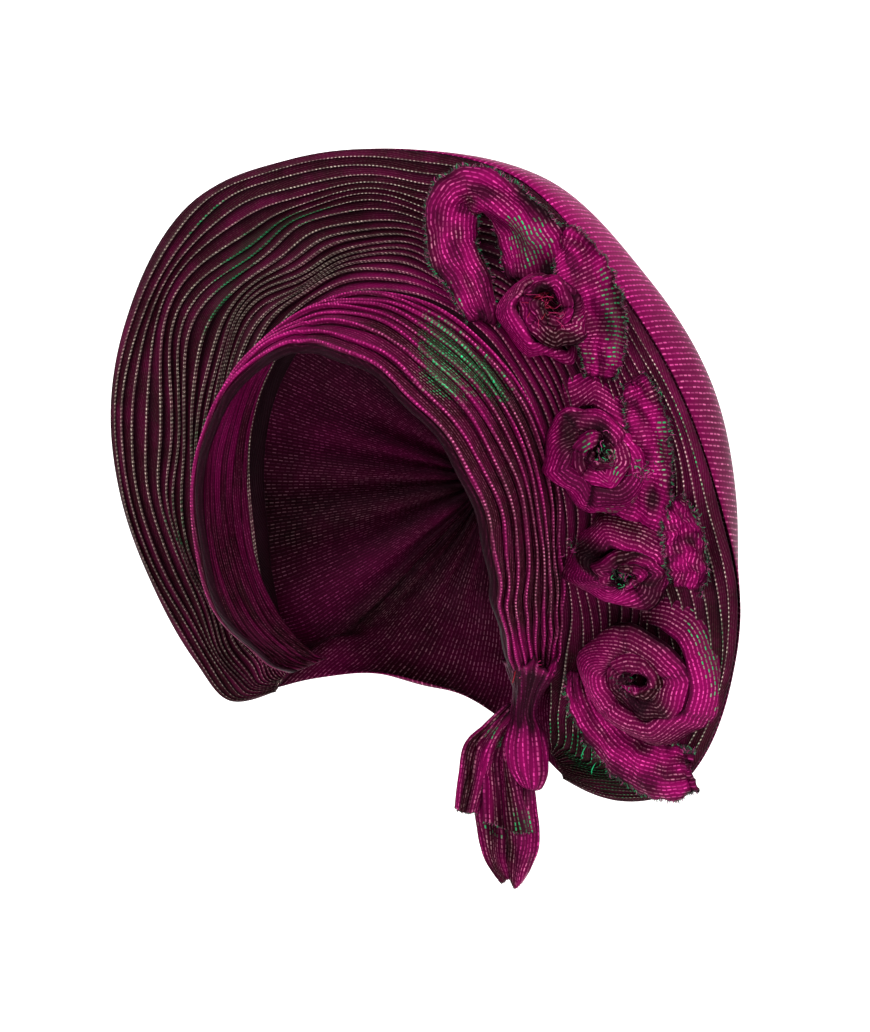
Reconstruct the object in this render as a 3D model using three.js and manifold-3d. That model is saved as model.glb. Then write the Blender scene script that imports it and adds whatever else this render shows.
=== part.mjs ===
// A pre-tied gele: a pleated band round the brow, a pleated fan that stands up round the band, a smooth
// crown bag behind the fan, a spray of rolled-cloth roses and loose petals on the wearer's left, and a
// gathered tie at the nape. All of it is one metallic cloth, folded, stitched and pinned.
// Millimetres. +Z is up, the wearer faces -Y, +X is the wearer's left. The origin is the top of the head.
import * as THREE from "three";
import { mergeVertices } from "three/addons/utils/BufferGeometryUtils.js";
import Module from "manifold-3d";

const wasm = await Module();
wasm.setup();

// The head that the wrap is tied round. The larger forms follow its size.
const headBreadth = 150;
const headLength = 190;
const headRise = 0.5 * headLength; // top of the head above its widest ring
const headFall = 0.59 * headLength; // how far the nape line lies below that ring

// The pleated band
const bandWall = 1.8;
const bandPleats = 9;
const bandPleatDepth = 2.6;
const bandLift = 6; // the cloth's middle off the head

// The pleated fan
const fanRadius = 1.133 * headBreadth;
const hubDrop = 0.6 * headBreadth; // the fan's centre below the top of the head
const fanWall = 1.8;
const fanPleats = 17;
const fanPleatDepth = 3.4;
const fanDish = 9; // how far the fan's face is hollowed between root and rim

// The crown bag
const crownWall = 1.6;
const crownBack = 0.62 * headLength; // the back of the bag behind the top of the head
const crownEyeDrop = 0.48 * headBreadth; // height of the back's middle below the top of the head
const crownSwell = 0.1 * fanRadius; // the most that the bag stands out past the rim

// The roses, petals and tie
const roseSize = 0.295 * fanRadius;
const roseWall = 1.4;
const petalSize = 1.2 * roseSize;
const petalWall = 1.4;
const tieWall = 1.8;
const tieLength = 0.61 * headBreadth; // from the gather behind the ear to the lowest end
const seamGap = 0.4; // least clearance between two layers of cloth that lie on each other
const seatClear = 0.6; // the same where both layers curve

// A named table: each row is one section, each column a named share or angle
function table(names, rows) {
  return { names: names.split(" "), rows };
}

// The sections of band, fan and crown, from the wearer's right nape over the brow to the left nape.
// Turns are degrees about the Y axis from straight up; sets are shares of half the head's length.
// brow and rear are the band's two edges on the head form, each with its stand off it as a share of
// bandLift; root and rim are the fan's edges about its hub, their reach as a share of fanRadius; swell is
// how far the crown bag stands out past the rim, as a share of crownSwell.
const sections = table(
  "browTurn browSet browStand rearTurn rearSet rearStand "
    + "rootTurn rootReach rootSet rimTurn rimReach rimSet swell",
  [
    [-141, 0.46, 2.7, -142, 0.61, 2.7, -147, 0.662, 0.65, -147, 0.74, 0.69, -1.6],
    [-138, 0.38, 2.5, -140, 0.58, 2.5, -144, 0.644, 0.63, -142, 0.86, 0.63, -1.6],
    [-132, 0.25, 2.0, -136, 0.53, 2.0, -137, 0.618, 0.57, -132, 0.87, 0.55, -1.2],
    [-121, -0.02, 1.5, -124, 0.42, 1.5, -125, 0.56, 0.44, -116, 0.88, 0.4, -0.5],
    [-104, -0.28, 1.15, -106, 0.26, 1.15, -107, 0.507, 0.28, -100, 0.92, 0.27, 0.1],
    [-82, -0.49, 1.0, -83, 0.08, 1.0, -83, 0.494, 0.1, -85, 0.96, 0.15, 0.1],
    [-62, -0.6, 1.0, -58, -0.09, 1.0, -58, 0.516, -0.05, -70, 0.98, 0.02, 0.1],
    [-42, -0.665, 1.0, -37, -0.2, 1.0, -37, 0.547, -0.17, -48, 1.01, -0.13, 0.1],
    [-23, -0.71, 1.0, -18, -0.26, 1.0, -18, 0.565, -0.235, -29, 0.955, -0.22, 0.15],
    [-2, -0.76, 1.0, 0, -0.28, 1.0, 0, 0.569, -0.255, -6, 0.92, -0.27, 0.3],
    [20, -0.765, 1.0, 18, -0.275, 1.0, 18, 0.565, -0.245, 15, 0.92, -0.25, 0.8],
    [42, -0.725, 1.0, 39, -0.21, 1.0, 39, 0.538, -0.185, 37, 0.86, -0.15, 1.0],
    [62, -0.65, 1.0, 60, -0.06, 1.0, 62, 0.507, -0.04, 58, 0.86, -0.02, 0.9],
    [78, -0.55, 1.0, 78, 0.08, 1.0, 87, 0.494, 0.16, 78, 0.9, 0.11, 0.4],
    [90, -0.45, 1.0, 91, 0.2, 1.1, 108, 0.534, 0.32, 93, 0.97, 0.23, -0.45],
    [99, -0.34, 0.9, 100, 0.27, 1.8, 124, 0.59, 0.46, 106, 1.01, 0.36, -0.9],
    [105, -0.24, 0.8, 106, 0.3, 2.4, 133, 0.675, 0.56, 117, 1.04, 0.46, -1.3],
    [111, -0.09, 0.7, 110, 0.31, 3.0, 137, 0.724, 0.61, 126, 1.03, 0.55, -1.6],
    [116, 0.08, 0.8, 114, 0.32, 3.4, 139, 0.741, 0.64, 134, 0.95, 0.6, -1.8],
    [119.5, 0.17, 1.2, 117.5, 0.33, 3.6, 141, 0.754, 0.66, 141, 0.83, 0.66, -1.8],
  ],
);

// The crown's hem across the nape, from the wearer's left to the right, in the same shares
const napeHem = table("rimTurn rimReach rimSet swell", [
  [147, 0.68, 0.76, -1.0],
  [163, 0.53, 0.86, 0.0],
  [180, 0.5, 0.9, 0.4],
  [197, 0.53, 0.87, 0.0],
  [209, 0.64, 0.79, -1.0],
]);

// The rolled ribbons. along and across place the middle on the fan, from its right end to its left and
// from root to rim. width, height and depth are shares of roseSize. lean turns the face out towards the
// rim, roll turns it in its own plane; turns is how often the ribbon goes round, wind which way, and core
// how open the middle is.
const rolls = table("name along across width height depth lean roll turns wind core", [
  ["loop_bow", 0.52, 0.58, 0.84, 1.34, 0.38, 6, 22, 1.5, -1, 0.4],
  ["upper_rose", 0.572, 0.4, 0.96, 1.12, 0.4, 8, 8, 2.4, 1, 0.2],
  ["middle_rose", 0.64, 0.23, 1.12, 1.3, 0.42, 10, 2, 2.6, 1, 0.2],
  ["lower_rose", 0.708, 0.3, 1.16, 0.94, 0.4, 8, -8, 2.4, -1, 0.2],
  ["end_rose", 0.775, 0.49, 1.32, 1.16, 0.42, 6, -16, 2.8, 1, 0.18],
]);

// The loose petals: curved plates, their length, width and stand as shares of petalSize. cup rolls the
// two long edges forward, stand lifts the tip off the fan, and lift is the foot's height in millimetres.
const petals = table("name along across length width stand cup roll lift", [
  ["leaf_petal", 0.59, 0.85, 1.08, 0.46, 0.22, 0.22, 12, 2],
  ["side_petal", 0.664, 0.64, 1.12, 0.34, 0.2, 0.26, 2, 2],
  ["small_petal", 0.71, 0.8, 0.78, 0.28, 0.2, 0.24, -12, 2],
  ["end_fold", 0.838, 0.62, 0.88, 0.46, 0.26, 0.3, 62, 2],
]);

// The tie: flaps that hang from the gather, each row a section from the gather down with its middle as
// shares of tieLength from the gather's middle, half its width, and its turn about the vertical
const gatherMiddle = new THREE.Vector3(0.507 * headBreadth, 0.19 * headLength, -1.093 * headBreadth);
const flaps = {
  front_flap: table("out back drop half turn", [
    [-0.19, 0.04, 0.22, 0.05, 24],
    [-0.23, 0.06, 0.36, 0.1, 28],
    [-0.25, 0.08, 0.5, 0.12, 32],
    [-0.25, 0.1, 0.66, 0.11, 36],
  ]),
  side_flap: table("out back drop half turn", [
    [-0.13, 0.14, 0.24, 0.05, 8],
    [-0.11, 0.15, 0.4, 0.1, 12],
    [-0.05, 0.17, 0.58, 0.14, 18],
    [0.03, 0.18, 0.76, 0.13, 24],
  ]),
  lower_flap: table("out back drop half turn", [
    [-0.2, 0.21, 0.46, 0.1, 8],
    [-0.18, 0.22, 0.64, 0.18, 12],
    [-0.11, 0.23, 0.82, 0.2, 18],
    [-0.03, 0.25, 1.0, 0.1, 24],
  ]),
};

const radians = THREE.MathUtils.degToRad;
const clamp = THREE.MathUtils.clamp;

const records = ({ names, rows }) =>
  rows.map((row) => Object.fromEntries(names.map((name, k) => [name, row[k]])));

// Catmull-Rom through the rows of a table: row 0 at place 0, the last row (or row 0 again) at place 1
function rowAt({ names, rows }, place, closed = false) {
  const spans = closed ? rows.length : rows.length - 1;
  const x = (closed ? THREE.MathUtils.euclideanModulo(place, 1) : clamp(place, 0, 1)) * spans;
  const i = Math.min(Math.floor(x), spans - 1);
  const f = x - i;
  const pick = (k) => rows[closed ? (i + k + rows.length) % rows.length : clamp(i + k, 0, rows.length - 1)];
  const [a, b, c, d] = [pick(-1), pick(0), pick(1), pick(2)];
  return Object.fromEntries(names.map((name, k) => [
    name,
    b[k] + 0.5 * f * (c[k] - a[k]
      + f * (2 * a[k] - 5 * b[k] + 4 * c[k] - d[k] + f * (3 * (b[k] - c[k]) + d[k] - a[k]))),
  ]));
}

const mix = (a, b, share) => a + (b - a) * share;

// A point lift outside the head form, at a turn about the Y axis and a set along it
function headPoint(turn, set, lift) {
  const ring = Math.sqrt(Math.max(1 - set * set, 0));
  const half = [headBreadth / 2, headLength / 2, Math.cos(radians(turn)) > 0 ? headRise : headFall];
  const point = new THREE.Vector3(
    half[0] * ring * Math.sin(radians(turn)),
    half[1] * set,
    half[2] * ring * Math.cos(radians(turn)),
  );
  const out = new THREE.Vector3(point.x / half[0] ** 2, point.y / half[1] ** 2, point.z / half[2] ** 2);
  return point.addScaledVector(out.normalize(), lift).setZ(point.z - headRise);
}

// The band's middle layer: u from the right nape to the left, v from the brow edge to the rear edge
function bandSurface(u, v) {
  const s = rowAt(sections, u);
  const stand = mix(s.browStand, s.rearStand, v) * bandLift;
  return headPoint(mix(s.browTurn, s.rearTurn, v), mix(s.browSet, s.rearSet, v), stand);
}

// A point of a section in polar form about the fan's hub
function hubPoint(turn, reach, back) {
  const a = radians(turn);
  return new THREE.Vector3(reach * Math.sin(a), back, reach * Math.cos(a) - hubDrop);
}

// The fan's middle layer: u along the pleats, v from root to rim
function fanSurface(u, v) {
  const s = rowAt(sections, u);
  const hollow = fanDish * Math.sin(Math.PI * v) * Math.sqrt(Math.sin(Math.PI * clamp(u, 0, 1)));
  return hubPoint(
    mix(s.rootTurn, s.rimTurn, v),
    mix(s.rootReach, s.rimReach, v) * fanRadius,
    (mix(s.rootSet, s.rimSet, v) * headLength) / 2 + hollow,
  );
}

// The crown's ring lies behind the fan's rim from end to end, then runs back along the nape hem
const crownSeat = fanWall / 2 + 1.5 * seatClear + crownWall / 2;
const crownRing = table("x y z swell", [
  ...sections.rows.map((row, i) => {
    const u = i / (sections.rows.length - 1);
    const seat = fanSurface(u, 1).addScaledVector(normalAt(fanSurface, u, 1), -crownSeat);
    return [...seat, row.at(-1)];
  }),
  ...napeHem.rows.map(([turn, reach, set, swell]) => [
    ...hubPoint(turn, reach * fanRadius, (set * headLength) / 2),
    swell,
  ]),
]);

// The crown's middle layer: u round the closed ring, v from the ring to the middle of the back
function crownSurface(u, v) {
  const s = rowAt(crownRing, u, true);
  const fall = (v * Math.PI) / 2;
  const standOut = 1 + ((s.swell * crownSwell) / fanRadius) * Math.sin(Math.PI * Math.min(v / 0.55, 1));
  const shrink = Math.cos(fall) ** 0.75 * standOut;
  return new THREE.Vector3(
    s.x * shrink,
    mix(s.y, crownBack, Math.max(Math.sin(fall), 0) ** 1.15),
    mix(-crownEyeDrop, s.z, shrink),
  );
}

// The frame on the fan where a roll or petal sits: x out towards the rim, y back along the pleats, z off
// the fan's face, leaned out by lean and then turned in its own plane by roll
function seatOn(along, across, lean, roll) {
  const origin = fanSurface(along, across);
  const off = normalAt(fanSurface, along, across);
  const back = fanSurface(along - 1e-3, across).sub(origin).normalize();
  const out = back.clone().cross(off).normalize();
  const turn = new THREE.Matrix4().makeBasis(out, off.clone().cross(out), off);
  turn.multiply(new THREE.Matrix4().makeRotationY(radians(lean)));
  turn.multiply(new THREE.Matrix4().makeRotationZ(radians(roll)));
  return turn.setPosition(origin);
}

// A rolled ribbon: u along the ribbon from the middle of the roll outwards, v from its foot to its lip
const footDrop = 9;
function rollSurface({ width, height, depth, turns, wind, core }) {
  return (u, v) => {
    const flare = mix(0.64, 1, v) * mix(core, 1, Math.max(u, 0) ** 0.9);
    const angle = wind * 2 * Math.PI * turns * u + 2.2;
    return new THREE.Vector3(
      (flare * Math.cos(angle) * width * roseSize) / 2,
      (flare * Math.sin(angle) * height * roseSize) / 2,
      mix(-footDrop, depth * roseSize * (1 - 0.3 * u), v),
    );
  };
}

// The room that a roll needs, as a closed cone a little wider than its last turn
function rollRoom({ width, height, depth }) {
  const cone = new THREE.CylinderGeometry(1.0, 0.64, 1, 28, 1);
  cone.rotateX(Math.PI / 2);
  const margin = roseWall / 2 + seamGap;
  cone.scale((width * roseSize) / 2 + margin, (height * roseSize) / 2 + margin, depth * roseSize + footDrop);
  cone.translate(0, 0, (depth * roseSize - footDrop) / 2);
  return cone;
}

// A petal: u across it, v from its foot to its tip
function petalSurface({ length, width, stand, cup, lift }) {
  return (u, v) => {
    const side = 2 * u - 1;
    const half = ((width * petalSize) / 2) * Math.sin(Math.PI * (0.16 + 0.76 * v)) ** 0.6;
    const rise = stand * petalSize * Math.sin((v * Math.PI) / 2) + 2 * cup * side * side * half;
    return new THREE.Vector3(side * half, (0.5 - v) * length * petalSize, lift + rise);
  };
}

// A flap of the tie: u across it with two soft folds, v from the gather to the hem
function flapSurface(rows) {
  return (u, v) => {
    const s = rowAt(rows, v);
    const side = 2 * u - 1;
    const fold = 0.26 * s.half * Math.cos(3 * Math.PI * u);
    const turn = radians(s.turn);
    return new THREE.Vector3(
      s.out + side * s.half * Math.cos(turn) + fold * Math.sin(turn),
      s.back + side * s.half * Math.sin(turn) - fold * Math.cos(turn),
      -s.drop,
    ).multiplyScalar(tieLength).add(gatherMiddle);
  };
}

// The gathered neck of the tie: u round it, v down it, drawn in at the middle and ridged by its gathers
const neckRidges = 7;
const neckBreadth = 0.185 * tieLength;
function neckSurface(u, v) {
  const angle = 2 * Math.PI * u;
  const half = (neckBreadth / 2) * mix(1, 0.78, Math.sin(Math.PI * v));
  const girth = half * (1 + 0.1 * Math.cos(neckRidges * angle));
  return new THREE.Vector3(
    mix(-0.02, 0.055, v) * tieLength + girth * Math.cos(angle),
    mix(-0.09, 0.13, v) * tieLength - 0.77 * girth * Math.sin(angle),
    mix(0.15, -0.415, v) * tieLength,
  ).add(gatherMiddle);
}

// The unit normal of a surface, from its slopes either way
function normalAt(surface, u, v) {
  const step = 1e-3;
  const across = surface(u + step, v).sub(surface(u - step, v));
  const along = surface(u, v + step).sub(surface(u, v - step));
  return across.cross(along).normalize();
}

// A closed sheet of cloth: a grid of the surface's points, moved along its normals to a front and a back
// layer, joined round the edges. relief(u, v) raises both layers, back and front are each layer's offset.
function sheet(surface, us, vs, { front, back, relief = () => 0, ring = false, eye = false }) {
  const positions = [];
  const index = [];
  const columns = us.length;
  const rows = eye ? vs.length - 1 : vs.length;
  const layers = [front, back].map((offset) => {
    const start = positions.length / 3;
    for (let j = 0; j < rows; j += 1) {
      for (const u of us) {
        const lift = offset + relief(u, vs[j]);
        positions.push(...surface(u, vs[j]).addScaledVector(normalAt(surface, u, vs[j]), lift));
      }
    }
    if (eye) positions.push(...surface(us[0], 1).add(new THREE.Vector3(0, offset, 0)));
    return (i, j) => start + (eye && j === rows ? rows * columns : j * columns + (i % columns));
  });
  const face = (flip, a, b, c) => index.push(...(flip ? [a, c, b] : [a, b, c]));
  const spans = ring ? columns : columns - 1;
  layers.forEach((at, layer) => {
    for (let i = 0; i < spans; i += 1) {
      for (let j = 0; j < rows - 1; j += 1) {
        face(layer, at(i, j), at(i + 1, j), at(i + 1, j + 1));
        face(layer, at(i, j), at(i + 1, j + 1), at(i, j + 1));
      }
      if (eye) face(layer, at(i, rows - 1), at(i + 1, rows - 1), at(i, rows));
    }
  });
  const [top, under] = layers;
  const wallAlong = (j, flip) => {
    for (let i = 0; i < spans; i += 1) {
      face(flip, top(i, j), under(i + 1, j), top(i + 1, j));
      face(flip, top(i, j), under(i, j), under(i + 1, j));
    }
  };
  const wallAcross = (i, flip) => {
    for (let j = 0; j < rows - 1; j += 1) {
      face(flip, top(i, j), top(i, j + 1), under(i, j + 1));
      face(flip, top(i, j), under(i, j + 1), under(i, j));
    }
  };
  wallAlong(0, false);
  if (!eye) wallAlong(rows - 1, true);
  if (!ring) {
    wallAcross(0, false);
    wallAcross(columns - 1, true);
  }
  const geometry = new THREE.BufferGeometry();
  geometry.setAttribute("position", new THREE.Float32BufferAttribute(positions, 3));
  geometry.setIndex(index);
  return geometry;
}

const evenly = (count) => Array.from({ length: count + 1 }, (_, i) => i / count);

// Knife pleats: each climbs gently from its valley to a crest near the next valley
const crestPlace = 0.7;
const pleatPlaces = (count) =>
  [...evenly(count).slice(0, -1).flatMap((v) => [v, v + crestPlace / count]), 1];
const pleatRise = (v, count) => {
  const phase = THREE.MathUtils.euclideanModulo(v * count + 1e-6, 1);
  return phase < crestPlace ? phase / crestPlace : (1 - phase) / (1 - crestPlace);
};

const layers = (wall, gap = 0) => ({ front: wall / 2 + gap, back: -wall / 2 - gap });
const bandGeometry = sheet(bandSurface, evenly(20), pleatPlaces(bandPleats), {
  ...layers(bandWall),
  relief: (u, v) => bandPleatDepth * pleatRise(v, bandPleats),
});

// The fan's pleats grow shallower where they crowd together at the two gathered ends
const crestAt = (u) => fanPleatDepth * clamp(Math.min(u, 1 - u) * 8, 0.12, 1);
const fanGeometry = sheet(fanSurface, evenly(28), pleatPlaces(fanPleats), {
  ...layers(fanWall),
  relief: (u, v) => crestAt(u) * pleatRise(v, fanPleats),
});

const crownGeometry = sheet(crownSurface, evenly(28).slice(0, -1), evenly(8), {
  ...layers(crownWall),
  ring: true,
  eye: true,
});

// Solids for cutting, and back
function solid(geometry) {
  const bare = new THREE.BufferGeometry();
  bare.setAttribute("position", geometry.getAttribute("position"));
  bare.setIndex(geometry.getIndex());
  const merged = mergeVertices(bare, 1e-4);
  return new wasm.Manifold(new wasm.Mesh({
    numProp: 3,
    vertProperties: new Float32Array(merged.getAttribute("position").array),
    triVerts: new Uint32Array(merged.getIndex().array),
  }));
}

function shape(body) {
  const mesh = body.getMesh();
  const geometry = new THREE.BufferGeometry();
  geometry.setAttribute("position", new THREE.BufferAttribute(new Float32Array(mesh.vertProperties), 3));
  geometry.setIndex(new THREE.BufferAttribute(new Uint32Array(mesh.triVerts), 1));
  return geometry;
}

// The room that the pleats need, from behind their cloth to just over their crests, and past their edges
const beyond = (surface) => (u, v) => {
  const inside = clamp(u, 0, 1);
  const at = surface(inside, v);
  const step = u > 0.5 ? 1e-3 : -1e-3;
  return at.addScaledVector(at.clone().sub(surface(inside - step, v)), (u - inside) / step);
};
const roomAlong = [-0.008, ...evenly(28), 1.008];
const roomAcross = evenly(9).map((v) => mix(-0.04, 1.02, v));
const pleatRoom = (surface, wall, crest) => solid(sheet(beyond(surface), roomAlong, roomAcross, {
  front: wall / 2 + seatClear,
  back: -wall / 2 - 12,
  relief: crest,
}));
const laid = [
  pleatRoom(fanSurface, fanWall, (u) => crestAt(u)),
  pleatRoom(bandSurface, bandWall, () => bandPleatDepth),
];

// The body that is left after the cloth already laid has been taken out of it; scraps are dropped
function trimmed(geometry) {
  const body = laid.reduce((rest, other) => rest.subtract(other), solid(geometry));
  return body.decompose().sort((a, b) => b.volume() - a.volume())[0];
}

// One cloth, shown darker where its pleats shade it
const pleatedCloth = new THREE.MeshStandardMaterial({ color: 0x4b1232, roughness: 0.42, metalness: 0.35 });
const smoothCloth = new THREE.MeshStandardMaterial({ color: 0x8a1259, roughness: 0.36, metalness: 0.35 });

const gele = new THREE.Group();
function piece(name, geometry, material = smoothCloth) {
  const mesh = new THREE.Mesh(geometry, material);
  mesh.name = name;
  gele.add(mesh);
  return mesh;
}

piece("brow_band", bandGeometry, pleatedCloth);
piece("fan", fanGeometry, pleatedCloth);
piece("crown", crownGeometry);

for (const roll of records(rolls)) {
  const places = evenly(Math.round(11 * roll.turns));
  const ribbon = sheet(rollSurface(roll), places, evenly(2), layers(roseWall));
  const seat = seatOn(roll.along, roll.across, roll.lean, roll.roll);
  piece(roll.name, shape(trimmed(ribbon.applyMatrix4(seat))));
  laid.push(solid(rollRoom(roll).applyMatrix4(seat)));
}

// Adds a plate of cloth, trimmed by what is already there, and keeps its own room clear
function lay(name, surface, us, vs, wall, place = new THREE.Matrix4()) {
  const plate = (gap) => {
    const past = (share) => mix(share, 2 * share - 0.5, gap * 0.06);
    return sheet(surface, us.map(past), vs.map(past), layers(wall, gap)).applyMatrix4(place);
  };
  piece(name, shape(trimmed(plate(0))));
  laid.push(solid(plate(seatClear)));
}

for (const petal of records(petals)) {
  const seat = seatOn(petal.along, petal.across, 0, petal.roll);
  lay(petal.name, petalSurface(petal), evenly(6), evenly(5), petalWall, seat);
}

const neckSheet = (gap) => sheet(neckSurface, evenly(3 * neckRidges).slice(0, -1), evenly(4), {
  ...layers(tieWall, gap),
  ring: true,
});
piece("tie_neck", shape(trimmed(neckSheet(0))));
laid.push(solid(neckSheet(seatClear)));
for (const [name, rows] of Object.entries(flaps)) {
  lay(name, flapSurface(rows), evenly(9), evenly(4), tieWall);
}

export default gele;
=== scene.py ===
import math

import bpy
import numpy as np
from mathutils import Matrix
from bpy.props import FloatProperty, FloatVectorProperty, IntProperty, PointerProperty
from bpy.types import Operator, Panel, PropertyGroup


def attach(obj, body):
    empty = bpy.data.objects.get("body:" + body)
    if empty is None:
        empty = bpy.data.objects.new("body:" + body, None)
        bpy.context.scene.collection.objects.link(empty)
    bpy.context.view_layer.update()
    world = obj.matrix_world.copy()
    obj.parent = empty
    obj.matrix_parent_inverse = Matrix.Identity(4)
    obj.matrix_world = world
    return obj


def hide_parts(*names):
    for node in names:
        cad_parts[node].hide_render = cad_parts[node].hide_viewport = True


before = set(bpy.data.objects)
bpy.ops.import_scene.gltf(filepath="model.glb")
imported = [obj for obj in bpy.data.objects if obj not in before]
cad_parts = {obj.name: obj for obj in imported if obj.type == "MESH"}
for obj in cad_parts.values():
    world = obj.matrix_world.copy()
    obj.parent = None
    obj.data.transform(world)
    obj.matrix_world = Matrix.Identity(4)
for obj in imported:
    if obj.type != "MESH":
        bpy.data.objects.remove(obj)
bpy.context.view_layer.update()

bl_info = {
    "name": "Tied gele",
    "version": (1, 0, 0),
    "blender": (4, 5, 0),
    "location": "3D View > Sidebar > Gele",
    "description": "A pleated, ribbed head tie with cloth roses, as surfaces worked out from its sizes",
    "category": "Add Mesh",
}

# All shapes are worked out in millimetres, in the frame of the head: +Z up, the wearer faces -Y, the
# origin on top of the head. MM turns them into the metres of the scene.
MM = 0.001

# The sections of band, fan and crown, from the wearer's right nape over the brow to the left nape.
# Turns are degrees about the Y axis from straight up; sets are shares of half the head's length, reaches
# of the fan's radius, stands of the band's lift, swells of the crown's swell.
SECTION_NAMES = (
    "brow_turn brow_set brow_stand rear_turn rear_set rear_stand "
    "root_turn root_reach root_set rim_turn rim_reach rim_set swell"
).split()
SECTIONS = np.array([
    [-141, 0.46, 2.7, -142, 0.61, 2.7, -147, 0.662, 0.65, -147, 0.74, 0.69, -1.6],
    [-138, 0.38, 2.5, -140, 0.58, 2.5, -144, 0.644, 0.63, -142, 0.86, 0.63, -1.6],
    [-132, 0.25, 2.0, -136, 0.53, 2.0, -137, 0.618, 0.57, -132, 0.87, 0.55, -1.2],
    [-121, -0.02, 1.5, -124, 0.42, 1.5, -125, 0.56, 0.44, -116, 0.88, 0.4, -0.5],
    [-104, -0.28, 1.15, -106, 0.26, 1.15, -107, 0.507, 0.28, -100, 0.92, 0.27, 0.1],
    [-82, -0.49, 1.0, -83, 0.08, 1.0, -83, 0.494, 0.1, -85, 0.96, 0.15, 0.1],
    [-62, -0.6, 1.0, -58, -0.09, 1.0, -58, 0.516, -0.05, -70, 0.98, 0.02, 0.1],
    [-42, -0.665, 1.0, -37, -0.2, 1.0, -37, 0.547, -0.17, -48, 1.01, -0.13, 0.1],
    [-23, -0.71, 1.0, -18, -0.26, 1.0, -18, 0.565, -0.235, -29, 0.955, -0.22, 0.15],
    [-2, -0.76, 1.0, 0, -0.28, 1.0, 0, 0.569, -0.255, -6, 0.92, -0.27, 0.3],
    [20, -0.765, 1.0, 18, -0.275, 1.0, 18, 0.565, -0.245, 15, 0.92, -0.25, 0.8],
    [42, -0.725, 1.0, 39, -0.21, 1.0, 39, 0.538, -0.185, 37, 0.86, -0.15, 1.0],
    [62, -0.65, 1.0, 60, -0.06, 1.0, 62, 0.507, -0.04, 58, 0.86, -0.02, 0.9],
    [78, -0.55, 1.0, 78, 0.08, 1.0, 87, 0.494, 0.16, 78, 0.9, 0.11, 0.4],
    [90, -0.45, 1.0, 91, 0.2, 1.1, 108, 0.534, 0.32, 93, 0.97, 0.23, -0.45],
    [99, -0.34, 0.9, 100, 0.27, 1.8, 124, 0.59, 0.46, 106, 1.01, 0.36, -0.9],
    [105, -0.24, 0.8, 106, 0.3, 2.4, 133, 0.675, 0.56, 117, 1.04, 0.46, -1.3],
    [111, -0.09, 0.7, 110, 0.31, 3.0, 137, 0.724, 0.61, 126, 1.03, 0.55, -1.6],
    [116, 0.08, 0.8, 114, 0.32, 3.4, 139, 0.741, 0.64, 134, 0.95, 0.6, -1.8],
    [119.5, 0.17, 1.2, 117.5, 0.33, 3.6, 141, 0.754, 0.66, 141, 0.83, 0.66, -1.8],
])
NAPE_HEM = np.array([  # rim_turn rim_reach rim_set swell, from the wearer's left to the right
    [147, 0.68, 0.76, -1.0],
    [163, 0.53, 0.86, 0.0],
    [180, 0.5, 0.9, 0.4],
    [197, 0.53, 0.87, 0.0],
    [209, 0.64, 0.79, -1.0],
])

# The rolled ribbons: where the middle sits on the fan (along, across), width, height and depth as shares
# of the rose size, lean and roll in degrees, turns, which way they wind, how open the core is, the direction
# (degrees) and strength of the corner that the outer turns are drawn out to, the seed, the step down from
# turn to turn in millimetres, and how many corners each turn has and how sharp they are.
ROSE_COLUMNS = (
    "along across width height depth lean roll turns wind core corner point seed step corners sharp"
).split()
ROSE_ROWS = {
    "upper_rose": (0.566, 0.4, 1.06, 1.25, 0.42, 8, 8, 2.5, 1, 0.3, 250, 0.1, 21, 5.0, 5, 0.6),
    "middle_rose": (0.638, 0.18, 1.4, 1.58, 0.44, 10, 2, 3.0, 1, 0.13, 285, 0.18, 34, 5.0, 4, 0.5),
    "lower_rose": (0.705, 0.36, 1.85, 1.3, 0.4, 8, -8, 2.6, -1, 0.16, 240, 0.14, 47, 5.0, 3, 0.45),
    "end_rose": (0.774, 0.51, 1.95, 1.72, 0.44, 6, -16, 3.1, 1, 0.12, 300, 0.1, 58, 4.5, 5, 0.5),
}
ROSES = {name: dict(zip(ROSE_COLUMNS, row)) for name, row in ROSE_ROWS.items()}

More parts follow.
